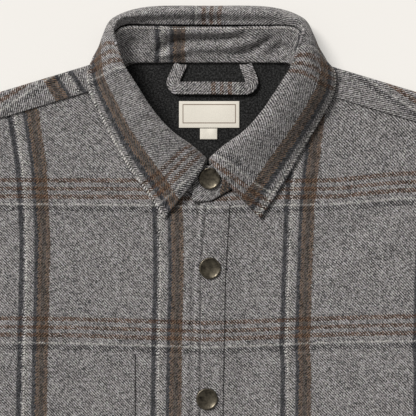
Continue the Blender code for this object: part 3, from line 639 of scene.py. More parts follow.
def plaid_material(cloth, plaid):
    """Brushed 2/2 twill in plaid.

    Each direction's thread colour comes from a ramp over its repeat. The twill line is a sine of the place across
    it, which turns the other way inside strong stripes. It decides, with flecks of noise, which of the two threads
    shows, and a stripe's own thread shows more. Along each line the threads float in short cells, and every cell has
    a random lightness, a random tint and a small random shift of the stripes, so that their edges are ragged.
    """
    material, place = new_material("plaid wool", True, Roughness=0.95, Sheen_Weight=0.12, Sheen_Roughness=0.6,
                                   Specular_IOR_Level=0.15)
    u, v = place.split()
    wobble, flecks, clouds, patches, fuzz = (place.noise(*row) - 0.5 for row in WOOL_NOISE.values())
    stops = stripe_stops(WARP, WARP_REPEAT, plaid.warp, plaid)
    warp_own = (u / (WARP_REPEAT * MM) + 0.5).stripes(stops).twin(1)
    lean = 1.0 - warp_own.maths("GREATER_THAN", TURNED) * 2.0
    across = (u + v * lean) * (math.sqrt(0.5) / cloth.twill_pitch) + wobble * LINE_BEND
    along = (u - v * lean) * (math.sqrt(0.5) / cloth.float_length) + wobble * FLOAT_BEND
    row = (across * 2.0).maths("FLOOR")
    cell = row.add("ShaderNodeCombineXYZ", None, {0: row, 1: (along + row * FLOAT_STEP).maths("FLOOR")})
    random = cell.add("ShaderNodeTexWhiteNoise", {"noise_dimensions": "2D"}, {"Vector": cell})
    chance = random - 0.5
    ragged = wobble * (STRIPE_WANDER * MM) + chance * (STRIPE_RAGGED * MM)
    warp = ((u + ragged) / (WARP_REPEAT * MM) + 0.5).stripes(stops)
    stops = stripe_stops(WEFT, WEFT_REPEAT, plaid.weft, plaid)
    weft = ((ragged * 0.5 - v) / (WEFT_REPEAT * MM) + 0.5).stripes(stops)
    line = (across * math.tau).maths("SINE")
    shows = weigh(WOOL_SHOWS, line=line, flecks=flecks, chance=chance, warp_own=warp_own, weft_own=weft.twin(1))
    light = weigh(WOOL_LIGHT, chance=chance, flecks=flecks, clouds=clouds, patches=patches, line=line)
    light = (light * plaid.heather + 1.0).maths("MAXIMUM", DARKEST)
    grey = light.grey().blend("OVERLAY", TINT, random.twin(1))
    height = weigh(WOOL_HEIGHT, line=line, chance=chance, fuzz=fuzz, flecks=flecks)
    colour = (shows + 0.5).clamp().mix(weft, warp).blend("MULTIPLY", 1.0, grey)
    return dress(material, Base_Color=colour, Normal=height.bump(0.8, cloth.twill_relief))


def lining_material(trims):
    """Charcoal brushed lining: fine noise for the pile, and faint broad clouds."""
    material, place = new_material("charcoal lining", True, Roughness=0.95, Sheen_Weight=0.12, Sheen_Roughness=0.5,
                                   Specular_IOR_Level=0.2)
    pile = place.noise(620.0, 3.0, 0.7)
    light = (pile - 0.5) * 4.2 + (place.noise(45.0) - 0.5) * 0.5 + 0.24
    colour = light.clamp().mix(opaque(trims.lining, 0.3), opaque(trims.lining, 3.6))
    return dress(material, Base_Color=colour, Normal=pile.bump(0.9, 0.5 * MM))


def label_material(trims, width, height, framed):
    """Ivory satin with a fine rib. A framed label has a thin line inside its edge, where the distance to the edge,
    less its inset, is under half the line's width from that line's middle."""
    material, place = new_material("ivory label", True, Roughness=0.6, Sheen_Weight=0.15)
    x, y = place.split()
    rib = (y * (math.tau / (0.55 * MM))).maths("SINE")
    grain = place.noise(900.0)
    light = 1.0 + rib * 0.02 + (grain - 0.5) * 0.16
    colour = light.grey().blend("MULTIPLY", 1.0, opaque(trims.label))
    if framed:
        half = LABEL_FRAME["line"] / 2 * MM
        side = (width / 2 - (x - width / 2).maths("ABSOLUTE")) - LABEL_FRAME["side"] * MM
        foot = y - LABEL_FRAME["foot"] * MM
        inside = side.maths("MINIMUM", foot.maths("MINIMUM", height - LABEL_FRAME["top"] * MM - y))
        line = (inside - half).maths("ABSOLUTE").maths("LESS_THAN", half)
        colour = (line * 0.9).mix(colour, opaque(trims.label_line))
    return dress(material, Base_Color=colour, Normal=(rib + grain).bump(0.4, 0.1 * MM))


def snap_material(trims):
    """Antique metal: patina in the noise's hollows, bright where the cap is worn, brushed by fine noise."""
    material, place = new_material("antique snap", False, Metallic=1.0)
    worn, fine = place.noise(260.0, 4.0, 0.65), place.noise(1500.0)
    share = ((worn - 0.5) * 2.2 + 0.45).clamp()
    return dress(material, Base_Color=share.mix(opaque(trims.patina), opaque(trims.metal)),
                 Roughness=0.42 - share * 0.08 + (fine - 0.5) * 0.2,
                 Normal=(worn + fine * 0.5).bump(0.35, 0.08 * MM))


def thread_material(name, colour):
    """Sewing thread with a fine twist from noise."""
    material, place = new_material(name, False, Roughness=0.7, Sheen_Weight=0.2)
    twist = place.noise(1600.0)
    return dress(material, Base_Color=twist.mix(opaque(colour, 0.6), opaque(colour, 1.5)),
                 Normal=twist.bump(0.5, 0.1 * MM))


def floor_material(colour, glow):
    """Pale matt lit surface with the faintest mottle."""
    material, place = new_material("pale surface", False, Roughness=0.9, Specular_IOR_Level=0.1,
                                   Emission_Color=opaque(glow), Emission_Strength=1.0)
    return dress(material, Base_Color=place.noise(6.0).mix(opaque(colour, 0.99), opaque(colour, 1.01)))


def size(name):
    """One of the cloth's sizes in mm."""
    return getattr(bpy.context.scene.shacket_cloth, name) / MM


def smooth_path(points, shares):
    """Catmull-Rom curve through the points, read at shares 0 to 1 that step evenly from point to point."""
    p = np.asarray(points, float)
    ends = np.concatenate([2 * p[:1] - p[1:2], p, 2 * p[-1:] - p[-2:-1]])
    t = np.asarray(shares, float) * (len(p) - 1)
    i = np.clip(t.astype(int), 0, len(p) - 2)
    f = (t - i).reshape(-1, *([1] * (p.ndim - 1)))
    a, b, c, d = ends[i], ends[i + 1], ends[i + 2], ends[i + 3]
    return 0.5 * (2 * b + (c - a) * f + (2 * a - 5 * b + 4 * c - d) * f**2 + (3 * b - a - 3 * c + d) * f**3)


def run_of(points, axis=0):
    """Distance travelled along lines of points from their start, for each point."""
    step = np.linalg.norm(np.diff(points, axis=axis), axis=-1)
    start = np.zeros_like(np.take(step, [0], axis=axis))
    return np.concatenate([start, np.cumsum(step, axis=axis)], axis=axis)


def read_line(points, shares):
    """Points of a line at shares 0 to 1 of its length."""
    p = np.asarray(points, float)
    run = run_of(p)
    return np.stack([np.interp(np.asarray(shares) * run[-1], run, p[:, k]) for k in range(p.shape[1])], axis=-1)


def read_table(table, at):
    """Second and third column of a table at values of its first, straight between its rows."""
    rows = np.array(table)
    return [np.interp(at, rows[:, 0], rows[:, k]) for k in (1, 2)]


def rim_shares(count, length, rim):
    """Shares 0 to 1 of a length: close together inside the rim at both ends and even between them."""
    near = np.array([0.0, 0.05, 0.18, 0.4, 0.7, 1.0]) * rim / length
    return np.concatenate([near, np.linspace(near[-1], 1 - near[-1], count)[1:-1], 1 - near[::-1]])


def spacing(name):
    """Shares across and along a patch."""
    return (rim_shares(*row) for row in SPACING[name])


def patch(low, high, left, right, across, up):
    """Coons patch: each point is the blend of the two edges across it plus the blend of the two edges along it, less
    the blend of the four corners. across and up are the shares at which the edges were read."""
    low, high, left, right = (np.asarray(e, float) for e in (low, high, left, right))
    u, v = across[:, None, None], up[None, :, None]
    corners = (1 - u) * ((1 - v) * low[0] + v * high[0]) + u * ((1 - v) * low[-1] + v * high[-1])
    return (1 - u) * left[None] + u * right[None] + (1 - v) * low[:, None] + v * high[:, None] - corners


def smoothstep(x, start, end):
    """0 before start, 1 after end, and the cubic 3t^2 - 2t^3 between."""
    t = np.clip((np.asarray(x, float) - start) / (end - start), 0, 1)
    return t * t * (3 - 2 * t)


def bell(distance, width):
    """Gaussian: 1 at no distance and 1/e at the width."""
    return np.exp(-((distance / width) ** 2))


def mirror(points, side):
    """Points drawn at +x, moved to the given side."""
    p = np.array(points, float)
    p[..., 0] *= side
    return p


def raised(xy, z):
    """Points x, y with their height or heights."""
    return np.concatenate([xy, np.broadcast_to(z, xy.shape[:-1])[..., None]], axis=-1)


def ridge(x, y, cx, cy, length, width, degrees, height):
    """A soft fold: a Gaussian across its width that fades out at the ends of its length."""
    c, s = math.cos(math.radians(degrees)), math.sin(math.radians(degrees))
    along = (x - cx) * c + (y - cy) * s
    across = (y - cy) * c - (x - cx) * s
    return height * np.exp(-((across / width) ** 2) - (along / (0.5 * length)) ** 4)


def crease(x, y, height, width, line):
    """A crease along a drawn line: height times a Gaussian of the distance to the line, fading at the line's ends."""
    line = np.asarray(line, float)
    run = run_of(line)
    best = np.full(np.shape(x), np.inf)
    place = np.zeros(np.shape(x))
    for start, end, before in zip(line[:-1], line[1:], run[:-1]):
        step = end - start
        share = np.clip(((x - start[0]) * step[0] + (y - start[1]) * step[1]) / (step @ step), 0, 1)
        gap = (x - start[0] - share * step[0]) ** 2 + (y - start[1] - share * step[1]) ** 2
        place = np.where(gap < best, before + share * np.linalg.norm(step), place)
        best = np.minimum(best, gap)
    fade = smoothstep(place, 0, 0.25 * run[-1]) * smoothstep(run[-1] - place, 0, 0.25 * run[-1])
    return height * np.exp(-best / width**2) * fade


def creases(x, y, rows):
    """Sum of a table of creases."""
    return sum(crease(x, y, *row) for row in rows)


def waves(x, y):
    """Soft unevenness of laid cloth, up to the cloth's wave: five crossing sines whose sum is squeezed into that."""
    total = np.sin(x / 31 + 0.6 * np.sin(y / 47)) + np.sin(y / 37 + 1.3 + 0.7 * np.sin(x / 41))
    total = total + 0.7 * np.sin((x + y) / 23 + 2.1) + 0.6 * np.sin((x - 1.4 * y) / 29 + 0.4)
    return size("wave") * (0.5 + 0.5 * np.tanh(0.55 * total))


def front_mid(side, x, y):
    """Middle height of a front: folds, creases and waves, and the left front's rise over the right one's edge."""
    mid = FRONT_MID + sum(ridge(x, y, *fold) for fold in FRONT_FOLDS) + waves(x, y) + creases(x, y, BODY_CREASES)
    left, right = read_table(PLACKET, y)
    for offset, width, height in PLACKET_FOLDS:
        mid = mid + height * bell(x - left - offset, width) * (1 - smoothstep(y, *FOLDS_TOP))
    if side > 0:
        mid = mid + LAP_RISE * (1 - smoothstep(x, right + LAP_SLOPE[0], right + LAP_SLOPE[1]))
    return mid


def grid_faces(nu, nv):
    """Quads of a grid of nu by nv points, numbered row by row."""
    i = np.arange(nu - 1)[:, None] * nv
    j = np.arange(nv - 1)[None]
    return np.stack([i + j, i + nv + j, i + nv + j + 1, i + j + 1], axis=-1).reshape(-1, 4)


def ring_faces(rings, turns):
    """Quads between rings of points that close on themselves, numbered ring by ring."""
    here = np.arange(rings * turns).reshape(rings, turns)
    after = np.roll(here, -1, axis=1)
    return np.stack([here[:-1], after[:-1], after[1:], here[1:]], axis=-1).reshape(-1, 4)


def grid_normals(grid):
    """Unit normals of a grid: the cross product of its two directions."""
    normal = np.cross(np.gradient(grid, axis=0), np.gradient(grid, axis=1))
    return normal / np.maximum(np.linalg.norm(normal, axis=-1, keepdims=True), 1e-9)


def lay_out(points):
    """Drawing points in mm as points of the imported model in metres."""
    return (np.asarray(points, float).reshape(-1, 3) - (0, ORIGIN_Y, 0)) * MM


def put(name, data):
    """A new object in the scene."""
    made = bpy.data.objects.new(name, data)
    bpy.context.scene.collection.objects.link(made)
    return made


def add_piece(name, points, faces, corners, material, slot, node=True, turn_out=False):
    """An object of drawing points and faces, with the cloth's own place in mm at each face corner as its UV map. It
    stands for the node of its name, unless it is an extra piece."""
    mesh = bpy.data.meshes.new(name)
    mesh.from_pydata(lay_out(points).tolist(), [], np.asarray(faces).tolist())
    layer = mesh.uv_layers.new(name="cloth")
    layer.data.foreach_set("uv", (np.asarray(corners, float) * MM).astype(np.float32).ravel())
    if turn_out:
        work = bmesh.new()
        work.from_mesh(mesh)
        bmesh.ops.remove_doubles(work, verts=work.verts, dist=1e-6)
        bmesh.ops.recalc_face_normals(work, faces=work.faces)
        work.to_mesh(mesh)
        work.free()
    mesh.shade_smooth()
    mesh.materials.append(material)
    piece = put(f"{name}_{slot}" if node else name, mesh)
    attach(piece, "root")
    if node:
        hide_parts(name)
    return piece


def cut_of(thread):
    """Width, length and area in metres of the flat cut whose cloth places these are."""
    t = np.asarray(thread, float) * MM
    width, length = (float(x) for x in np.ptp(t.reshape(-1, 2), axis=0))
    a, b, c, d = t[:-1, :-1], t[1:, :-1], t[1:, 1:], t[:-1, 1:]
    p, q = c - a, d - b
    area = 0.5 * abs(float((p[..., 0] * q[..., 1] - p[..., 1] * q[..., 0]).sum()))
    return width, length, area


def declare_cloth(piece, thread):
    """Works out the flat width, length and area of a sheet's cut and does nothing with them. A tab shorter than
    SMALLEST_CUT is taken at that length, the rest of it being tucked under what it hangs from."""
    width, length, area = cut_of(thread)
    length = max(length, SMALLEST_CUT * MM)


def wool():
    """The plaid material, made on its first use."""
    scene = bpy.context.scene
    return bpy.data.materials.get("plaid wool") or plaid_material(scene.shacket_cloth, scene.shacket_plaid)


def add_sheet(name, mid, thread, rim, thickness=WOOL, material=None, slot="wool"):
    """A closed sheet of cloth round a grid of middle points, with half-round edges.

    Both skins lie half the thickness from the middle along its normal. Within a rim's width d of the edge, that
    offset falls as the square root of 1 - (1 - d)^2, so the skins meet in the grid's outermost points.
    """
    nu, nv = mid.shape[:2]
    along, across = run_of(mid, 0), run_of(mid, 1)
    edge = np.minimum(np.minimum(along, along[-1:] - along), np.minimum(across, across[:, -1:] - across))
    offset = thickness / 2 * np.sqrt(np.clip(1 - (1 - np.clip(edge / rim, 0, 1)) ** 2, 0, 1))
    normal = grid_normals(mid) * offset[..., None]
    inside = np.zeros((nu, nv), bool)
    inside[1:-1, 1:-1] = True
    lower = np.arange(nu * nv)
    lower[inside.ravel()] = nu * nv + np.arange(inside.sum())
    faces = grid_faces(nu, nv)
    points = np.concatenate([(mid + normal).reshape(-1, 3), (mid - normal)[inside]])
    flat = np.asarray(thread, float).reshape(-1, 2)
    corners = np.concatenate([flat[faces], flat[faces[:, ::-1]]])
    every = np.concatenate([faces, lower[faces][:, ::-1]])
    declare_cloth(add_piece(name, points, every, corners, material or wool(), slot), thread)


def add_tube(name, skins, thread):
    """A closed wall between an outer and an inner tube, joined by rings at its open ends. The grids' last column lies
    on their first, so that the cloth's place can jump there."""
    nu, nv = skins[0].shape[:2]
    faces = grid_faces(nu, nv)
    start, end = np.arange(nv - 1), (nu - 1) * nv + np.arange(nv - 1)
    count = nu * nv
    rings = [np.stack([a + 1, a, a + count, a + 1 + count], axis=-1) for a in (start, end)]
    points = np.concatenate([skin.reshape(-1, 3) for skin in skins])
    every = np.concatenate([faces, faces[:, ::-1] + count, *rings])
    flat = np.concatenate([np.asarray(thread, float).reshape(-1, 2)] * 2)
    declare_cloth(add_piece(name, points, every, flat[every], wool(), "wool", turn_out=True), thread)


def hem_curve(start, end, shares):
    """Shirt-tail hem: low at the centre, rising in an S curve to the side seam."""
    x = start + (end - start) * shares
    return np.stack([x, HEM_LOW + (HEM_SIDE[1] - HEM_LOW) * smoothstep(np.abs(x), HEM_FLAT, HEM_SIDE[0])], axis=-1)


def side_edge(top_y):
    """Side seam and armhole at +x, from the hem up to the height top_y."""
    waist = smooth_path([HEM_SIDE, WAIST, PIT], np.linspace(0, 1, 40))
    line = np.concatenate([waist[:-1], smooth_path(ARMHOLE, np.linspace(0, 1, 60))[::-1]])
    top = [np.interp(top_y, line[:, 1], line[:, 0]), top_y]
    return np.concatenate([line[line[:, 1] < top_y - 0.5], [top]])


def neck_edge():
    """Neck edge of the body at the wearer's right, centre front to shoulder, set off from the stand's neck seam."""
    seam = np.array([row[0][:2] for row in COLLAR[: len(NECK_CLEARANCE)]])
    outward = seam - NECK_CENTRE
    return seam + np.array(NECK_CLEARANCE)[:, None] * outward / np.linalg.norm(outward, axis=1, keepdims=True)


def weft_place(x, y):
    """Place along the cloth, measured upwards between the two white lines at that x."""
    upper, lower = read_table(WEFT_PLACES, x)
    return (y - upper) / (upper - lower) * WEFT_REPEAT


def front_thread(side, x, y):
    """Place in the cloth of a front's point. Across, it is measured between the two white stripes at that height, so
    the plaid runs where the laid cloth carries it."""
    outer, inner = read_table(WARP_PLACES[side], y)
    return np.stack([(x - inner) / np.abs(outer - inner) * WARP_REPEAT, weft_place(x, y)], axis=-1)


def front_grid(side):
    """Points x, y of one front: a patch between its hem, its lap and neck, its side and the line under the yoke."""
    depth = YOKE_DEPTH[side] - YOKE_LAP
    neck = mirror(smooth_path(neck_edge(), np.linspace(0, 1, 80)), -1)
    below = (neck[:, 0] - NECK_POINT[0]) * SHOULDER_SIN + (neck[:, 1] - NECK_POINT[1]) * SHOULDER_COS < -depth
    top_y = NECK_POINT[1] - SHOULDER_LENGTH * SHOULDER_SIN - depth / SHOULDER_COS
    lap_y = np.linspace(HEM_LOW, neck[0, 1] - NECK_GAP, 40)
    left, right = read_table(PLACKET, lap_y)
    lap = np.stack([left if side > 0 else UNDERLAP_INSET - right, lap_y], axis=-1)
    across = rim_shares(100, PIT[0], WOOL)
    lap_up, neck_up = np.linspace(0, 1, 90), np.linspace(0, 1, 70)[1:]
    up = np.concatenate([LAP_SHARE * lap_up, LAP_SHARE + (1 - LAP_SHARE) * neck_up])
    inner = np.concatenate([read_line(lap, lap_up), read_line(neck[below], neck_up)])
    outer = read_line(side_edge(top_y), up)
    low = hem_curve(inner[0, 0], HEM_SIDE[0], across)
    high = inner[-1] + (outer[-1] - inner[-1]) * across[:, None]
    return mirror(patch(low, high, inner, outer, across, up), side)


def make_fronts():
    """Both fronts: patches raised to front_mid, which slope down to the side seam below the armhole."""
    for side, name in ((-1, "front_right"), (1, "front_left")):
        grid = front_grid(side)
        x, y = grid[..., 0], grid[..., 1]
        mid = front_mid(side, x, y)
        outward = smoothstep(np.abs(x), np.abs(x[-1:]) - SIDE_SLOPE, np.abs(x[-1:]))
        mid = mid - (mid - SIDE_SEAM_MID) * outward * (y < PIT[1] + 1.0)
        add_sheet(name, raised(grid, mid), front_thread(side, x, y), size("rim") / 2)


def make_back():
    """Back panel: a flat patch between the hem, the sides and the yoke's seam."""
    across, up = spacing("back")
    side = read_line(side_edge(BACK_SEAM_Y - GAP), up)
    low = hem_curve(-HEM_SIDE[0], HEM_SIDE[0], across)
    high = np.stack([side[-1, 0] * (2 * across - 1), np.full(len(across), side[-1, 1])], axis=-1)
    grid = patch(low, high, mirror(side, -1), side, across, up)
    add_sheet("back", raised(grid, BACK_MID), grid + BACK_SHIFT, size("rim") / 2)


def fold_over(along, depth, side):
    """Yoke cloth past the start of the shoulder fold, and its place in the flat cut.

    along is the distance of a point's fibre from the neck point on the shoulder line, depth the length of cloth past
    the fold's start: first round half a circle, then forward on the upper layer.
    """
    c, s = SHOULDER_COS, SHOULDER_SIN
    turn = np.clip(depth / FOLD_RADIUS, 0, math.pi)
    past = np.maximum(depth - math.pi * FOLD_RADIUS, 0)
    inward = WOOL / 2 + FOLD_RADIUS * (1 - np.sin(turn)) + past
    run = along + past * (NECK_SKEW + (ARM_SKEW - NECK_SKEW) * smoothstep(along, 0, SHOULDER_LENGTH))
    x = NECK_POINT[0] + run * c - inward * s
    y = NECK_POINT[1] - run * s - inward * c
    z = BACK_MID + FOLD_RADIUS * (1 - np.cos(turn)) + 0 * x
    outward = depth - WOOL / 2 - FOLD_RADIUS
    cut = np.stack([(NECK_POINT[0] + run * c + outward * s) * side, NECK_POINT[1] - run * s + outward * c], axis=-1)
    return np.stack([x * side, y, z], axis=-1), cut


def make_yoke():
    """Back part flat on the surface, and a strip over each shoulder; the pieces are welded, then given a wall."""
    shoulder = np.linspace(SHOULDER_LENGTH, 0, 70)
    start = fold_over(shoulder, 0 * shoulder, 1)[0][:, :2]
    neck = smooth_path([start[-1], *YOKE_NECK], np.linspace(0, 1, 24))
    half = np.concatenate([start, neck[1:]])
    high = np.concatenate([mirror(half, -1), half[::-1][1:]])
    arm = side_edge(start[0, 1])
    arm = np.concatenate([side_edge(BACK_SEAM_Y)[-1:], arm[arm[:, 1] > BACK_SEAM_Y + 1.0][:-1], start[:1]])
    arm = read_line(arm, np.linspace(0, 1, 24))
    across, up = np.linspace(0, 1, len(high)), np.linspace(0, 1, 24)
    low = np.stack([arm[0, 0] * (2 * across - 1), np.full(len(high), BACK_SEAM_Y)], axis=-1)
    cuts = [patch(low, high, mirror(arm, -1), arm, across, up)]
    grids = [raised(cuts[0], BACK_MID)]
    half_round = math.pi * FOLD_RADIUS
    for side in (-1, 1):
        reach = YOKE_DEPTH[side] - FOLD_RADIUS - WOOL / 2
        depth = np.concatenate([np.linspace(0, half_round, 13), half_round + reach * np.linspace(0, 1, 16)[1:]])
        strip, cut = fold_over(shoulder[:, None], depth[None], side)
        x, y = strip[..., 0], strip[..., 1]
        forward = smoothstep(depth, half_round, half_round + YOKE_SETTLE)
        strip[..., 2] += forward * (YOKE_WAVE * waves(x, y) + creases(x, y, YOKE_CREASES))
        grids.append(strip)
        cuts.append(cut)
    faces, corners, count = [], [], 0
    for cut in cuts:
        quads = grid_faces(*cut.shape[:2])
        faces.append(quads + count)
        corners.append((YOKE_WHITE - cut).reshape(-1, 2)[quads])
        count += cut.shape[0] * cut.shape[1]
    points = np.concatenate([grid.reshape(-1, 3) for grid in grids])
    yoke = add_piece("yoke", points, np.concatenate(faces), np.concatenate(corners), wool(), "wool", turn_out=True)
    wall = yoke.modifiers.new("wall", "SOLIDIFY")
    wall.thickness = WOOL * MM
    wall.offset = 0
    wall.use_even_offset = True
    edge = yoke.modifiers.new("turned edge", "BEVEL")
    edge.width = YOKE_EDGE * WOOL * MM
    edge.segments = 3
    edge.limit_method = "ANGLE"
    edge.angle_limit = math.radians(60)


def tube_sections(line, shrink, across):
    """Sections of a flattened tube: points x, y, share across it, height, and share of the upper layer.

    A section is a stadium, drawn shrink inside its face: flat between two half circles, and closed on itself.
    """
    outer, inner, height = line[:, :2], line[:, 2:4], line[:, 4:]
    turn = np.linspace(math.pi / 2, -math.pi / 2, 9)[1:-1]
    radius = height / 2
    width = np.linalg.norm(inner - outer, axis=-1, keepdims=True)
    centre = radius / width
    round_off = (radius - shrink) / width * np.cos(turn)
    flat = across * (1 - 2 * centre) + centre
    share = np.concatenate([flat, 1 - centre + round_off, flat[:, ::-1], centre - round_off, flat[:, :1]], axis=1)
    ones = np.ones(len(across))
    lift = np.concatenate([ones, np.sin(turn), -ones, -np.sin(turn), ones[:1]])
    xy = outer[:, None] + (inner - outer)[:, None] * share[..., None]
    return xy, share, radius + (radius - shrink) * lift, np.clip(lift, 0, 1)


def make_sleeves():
    """Two sleeves and their cuffs. The cloth's place is the distance round the tube and the distance along it."""
    rows = np.array([(*ARMHOLE[0], *ARMHOLE[-1], SLEEVE_TOP_HEIGHT), *SLEEVE])
    rows[0, [0, 2]] += ARMHOLE_GAP
    line = smooth_path(rows, np.linspace(0, 1, 90))
    along = np.linspace(0, 1, len(line))[:, None]
    across = np.linspace(0, 1, 46)
    band = raised(np.linspace(*np.array(CUFF_ENDS), 24), CUFF_HEIGHT)
    for side, word in ((-1, "right"), (1, "left")):
        sleeve, cuff = [], []
        for shrink in (0, WOOL):
            xy, share, z, upper = tube_sections(line, shrink, across)
            curve = smooth_path(ARMHOLE, np.clip(share[0], 0, 1)) + (ARMHOLE_GAP, 0)
            xy = xy + (curve - xy[0])[None] * np.clip(1 - ARMHOLE_FADE * along, 0, 1)[..., None]
            z = z + upper * sum(ridge(along, share, *fold) for fold in SLEEVE_FOLDS)
            z = z + upper * SLEEVE_WAVE * waves(xy[..., 0], xy[..., 1])
            sleeve.append(mirror(raised(xy, z), side))
        for shrink in (0, CUFF_WALL):
            xy, _, z, _ = tube_sections(band, shrink, across)
            cuff.append(mirror(raised(xy, z), side))
        for name, skins, shift in ((f"sleeve_{word}", sleeve, SLEEVE_SHIFT), (f"cuff_{word}", cuff, CUFF_SHIFT)):
            add_tube(name, skins, np.stack([run_of(skins[0], 1), -run_of(skins[0], 0)], axis=-1) + shift)


def make_placket():
    """Snap band on the left front's edge, from the collar band to the hem, sunk a little along its stitch lines."""
    across, up = rim_shares(26, 27.0, WOOL), np.linspace(0, 1, 260)
    y = PLACKET[0][0] + (PLACKET[-1][0] - PLACKET[0][0]) * up
    left, right = read_table(PLACKET, y)
    x = left + (right - left) * across[:, None]
    y = np.broadcast_to(y, x.shape)
    mid = front_mid(1, x, y) + LAP_RISE
    for edge, inset in zip((left, right), PLACKET_SEAMS):
        mid = mid - STITCH_SINK * bell(x - edge - inset, GROOVE["placket"])
    thread = np.stack([x + PLACKET_SHIFT, weft_place(0.0, y)], axis=-1)
    add_sheet("placket", np.stack([x, y, mid], axis=-1), thread, size("rim"))


def make_pockets():
    """Patch pockets with clipped lower corners, on the fronts' own heights, with their plaid matched to them."""
    for name, (inner, outer, top, low, cut) in POCKETS.items():
        across, up = spacing("pocket")
        side = int(math.copysign(1, inner))
        middle, half = (inner + outer) / 2, abs(outer - inner) / 2
        x = min(inner, outer) + abs(outer - inner) * across[:, None]
        foot = low + cut * np.clip(2 * np.abs(x - middle) / half - 1, 0, 1)
        y = foot + (top - foot) * up
        x = np.broadcast_to(x, y.shape)
        groove = bell(np.abs(x - middle) - half + POCKET_SEAM, GROOVE["pocket"])
        mid = front_mid(side, x, y) + POCKET_RISE - POCKET_SINK * STITCH_SINK * groove
        add_sheet(name, np.stack([x, y, mid], axis=-1), front_thread(side, x, y),
                  size("rim"))


def collar_net():
    """Control points of the collar's face: one row a section from front end to front end, seven points in each."""
    rows = []
    for section, (share, lift, _) in zip(COLLAR, COLLAR_FALL):
        neck, seam, crest, bulge, edge = np.array(section)
        middle = (neck + seam) / 2 - (0, 0, STAND_HOLLOW * smoothstep(neck[1], *HOLLOW_FADE))
        low = edge + (bulge - edge) * share
        low[2] = edge[2] + lift
        rows.append([neck, middle, seam, crest, bulge, low, edge])
    right = np.array(rows)
    left = mirror(right[:-1], -1)
    shift = np.array([row[2] for row in COLLAR_FALL[:-1]])[:, None]
    left[:, 4:, 0] += shift * FALL_SHARES
    left[:, 4, 0] += LEFT_BULGE
    left[:, 5, 2] += LEFT_LIFT
    left[: len(UPPER_BAND_RISE), :, 2] += np.outer(UPPER_BAND_RISE, RISE_SHARES)
    return np.concatenate([right, left[::-1]])


def collar_face(shares, columns):
    """Points of the collar's face at shares along it and at columns of its net, kept above the surface."""
    along = smooth_path(collar_net(), shares).transpose(1, 0, 2)
    face = smooth_path(along, np.clip(np.asarray(columns) / FREE_EDGE, 0, 1)).transpose(1, 0, 2)
    face[..., 2] = np.maximum(face[..., 2], 0)
    return face


def band_end(row, steps):
    """Sections that lengthen the stand past its first or last section, which keep that section's heights."""
    share = np.linspace(0, 1, len(row))[:, None]
    ends = [raised(np.array(step[:2]) * (1 - share) + np.array(step[2:]) * share, row[:, 2]) for step in steps]
    return smooth_path(np.array([row, *ends]), np.linspace(0, 1, 16))[1:]


def settle(face, rows, weight=1.0):
    """A face moved along its normals by a table of creases, times a weight for each column."""
    lift = creases(face[..., 0], face[..., 1], rows) * weight
    return face + grid_normals(face) * lift[..., None]


def add_collar_part(name, face, thread, rim):
    """A collar piece whose outer skin lies on the face."""
    mid = face - grid_normals(face) * COLLAR_WOOL / 2
    add_sheet(name, mid, thread, rim, COLLAR_WOOL)


def make_collar():
    """Collar stand and leaf, two parts of one face.

    The stand's plaid follows its own lengths, eased on the left. On the leaf the plaid runs along the free edge: the
    cloth's place across is the distance from the white stripe beside that edge, with the stripe drawn wider and the
    pale ground after it narrower. Its place along is read from one table at the roll's crest and at the edge, and
    blended between.
    """
    columns = np.linspace(0, STAND_END, 40)
    face = collar_face(np.linspace(0, 1, 260), columns)
    face = np.concatenate([band_end(face[0], LOWER_BAND_END)[::-1], face, band_end(face[-1], UPPER_BAND_END)])
    face = settle(face, STAND_CREASES, smoothstep(columns, *STAND_FADE))
    run = run_of(face, 0)
    eased = STAND_EASE * smoothstep(face[..., 0], 0.0, STAND_EASED)
    thread = np.stack([run - run[len(run) // 2] - eased, run_of(face, 1)], axis=-1) + STAND_SHIFT
    add_collar_part("collar_stand", face, thread, size("rim"))
    shares, down = spacing("leaf")
    columns = LEAF_START + (FREE_EDGE - LEAF_START) * down
    on_leaf = smoothstep(columns, *ROLL_FADE)
    face = settle(collar_face(shares, columns), ROLL_CREASES, 1 - on_leaf)
    face = settle(face, LEAF_CREASES, on_leaf)
    down = run_of(face, 1)
    places = np.array(LEAF_PLACES)
    run = run_of(collar_face(shares, [CREST, FREE_EDGE]), 0)
    crest, edge = (np.interp(run[:, k] - run[-1, k] / 2, places[:, k], places[:, 2]) for k in (0, 1))
    blend = np.clip((columns - CREST) / (FREE_EDGE - CREST), 0, 1)
    along = crest[:, None] * (1 - blend) + edge[:, None] * blend
    white = np.interp(shares, *np.array(LEAF_WHITE).T)
    place = down[:, -1:] - down - white[:, None]
    place = place * (1 - 0.5 * bell(place, WHITE_REACH))
    place = place + PALE_WIDTH * (smoothstep(place, PALE_START, PALE_END)
                                  - np.clip((place - PALE_END) / PALE_REACH, 0, 1))
    add_collar_part("collar_leaf", face, np.stack([place, along], axis=-1),
                    1.5 * size("rim"))


def make_lining(felt):
    """Flat lining inside the neck: a patch between its top, its low edge and its curved sides."""
    across, up = spacing("lining")
    x = 2 * across - 1
    (top, fall), (foot, rise) = LINING_EDGES
    high = np.stack([LINING_HALF[0] * x, top + fall * smoothstep(np.abs(x), 0.70, 1.0)], axis=-1)
    low = np.stack([LINING_HALF[1] * x, foot + rise * x**2], axis=-1)
    side = smooth_path([low[-1], *LINING_SIDE, high[-1]], up)
    grid = patch(low, high, mirror(side, -1), side, across, up)
    add_sheet("lining", raised(grid, LINING_TOP - LINING_WOOL / 2), grid, 0.5, LINING_WOOL, material=felt,
              slot="lining")


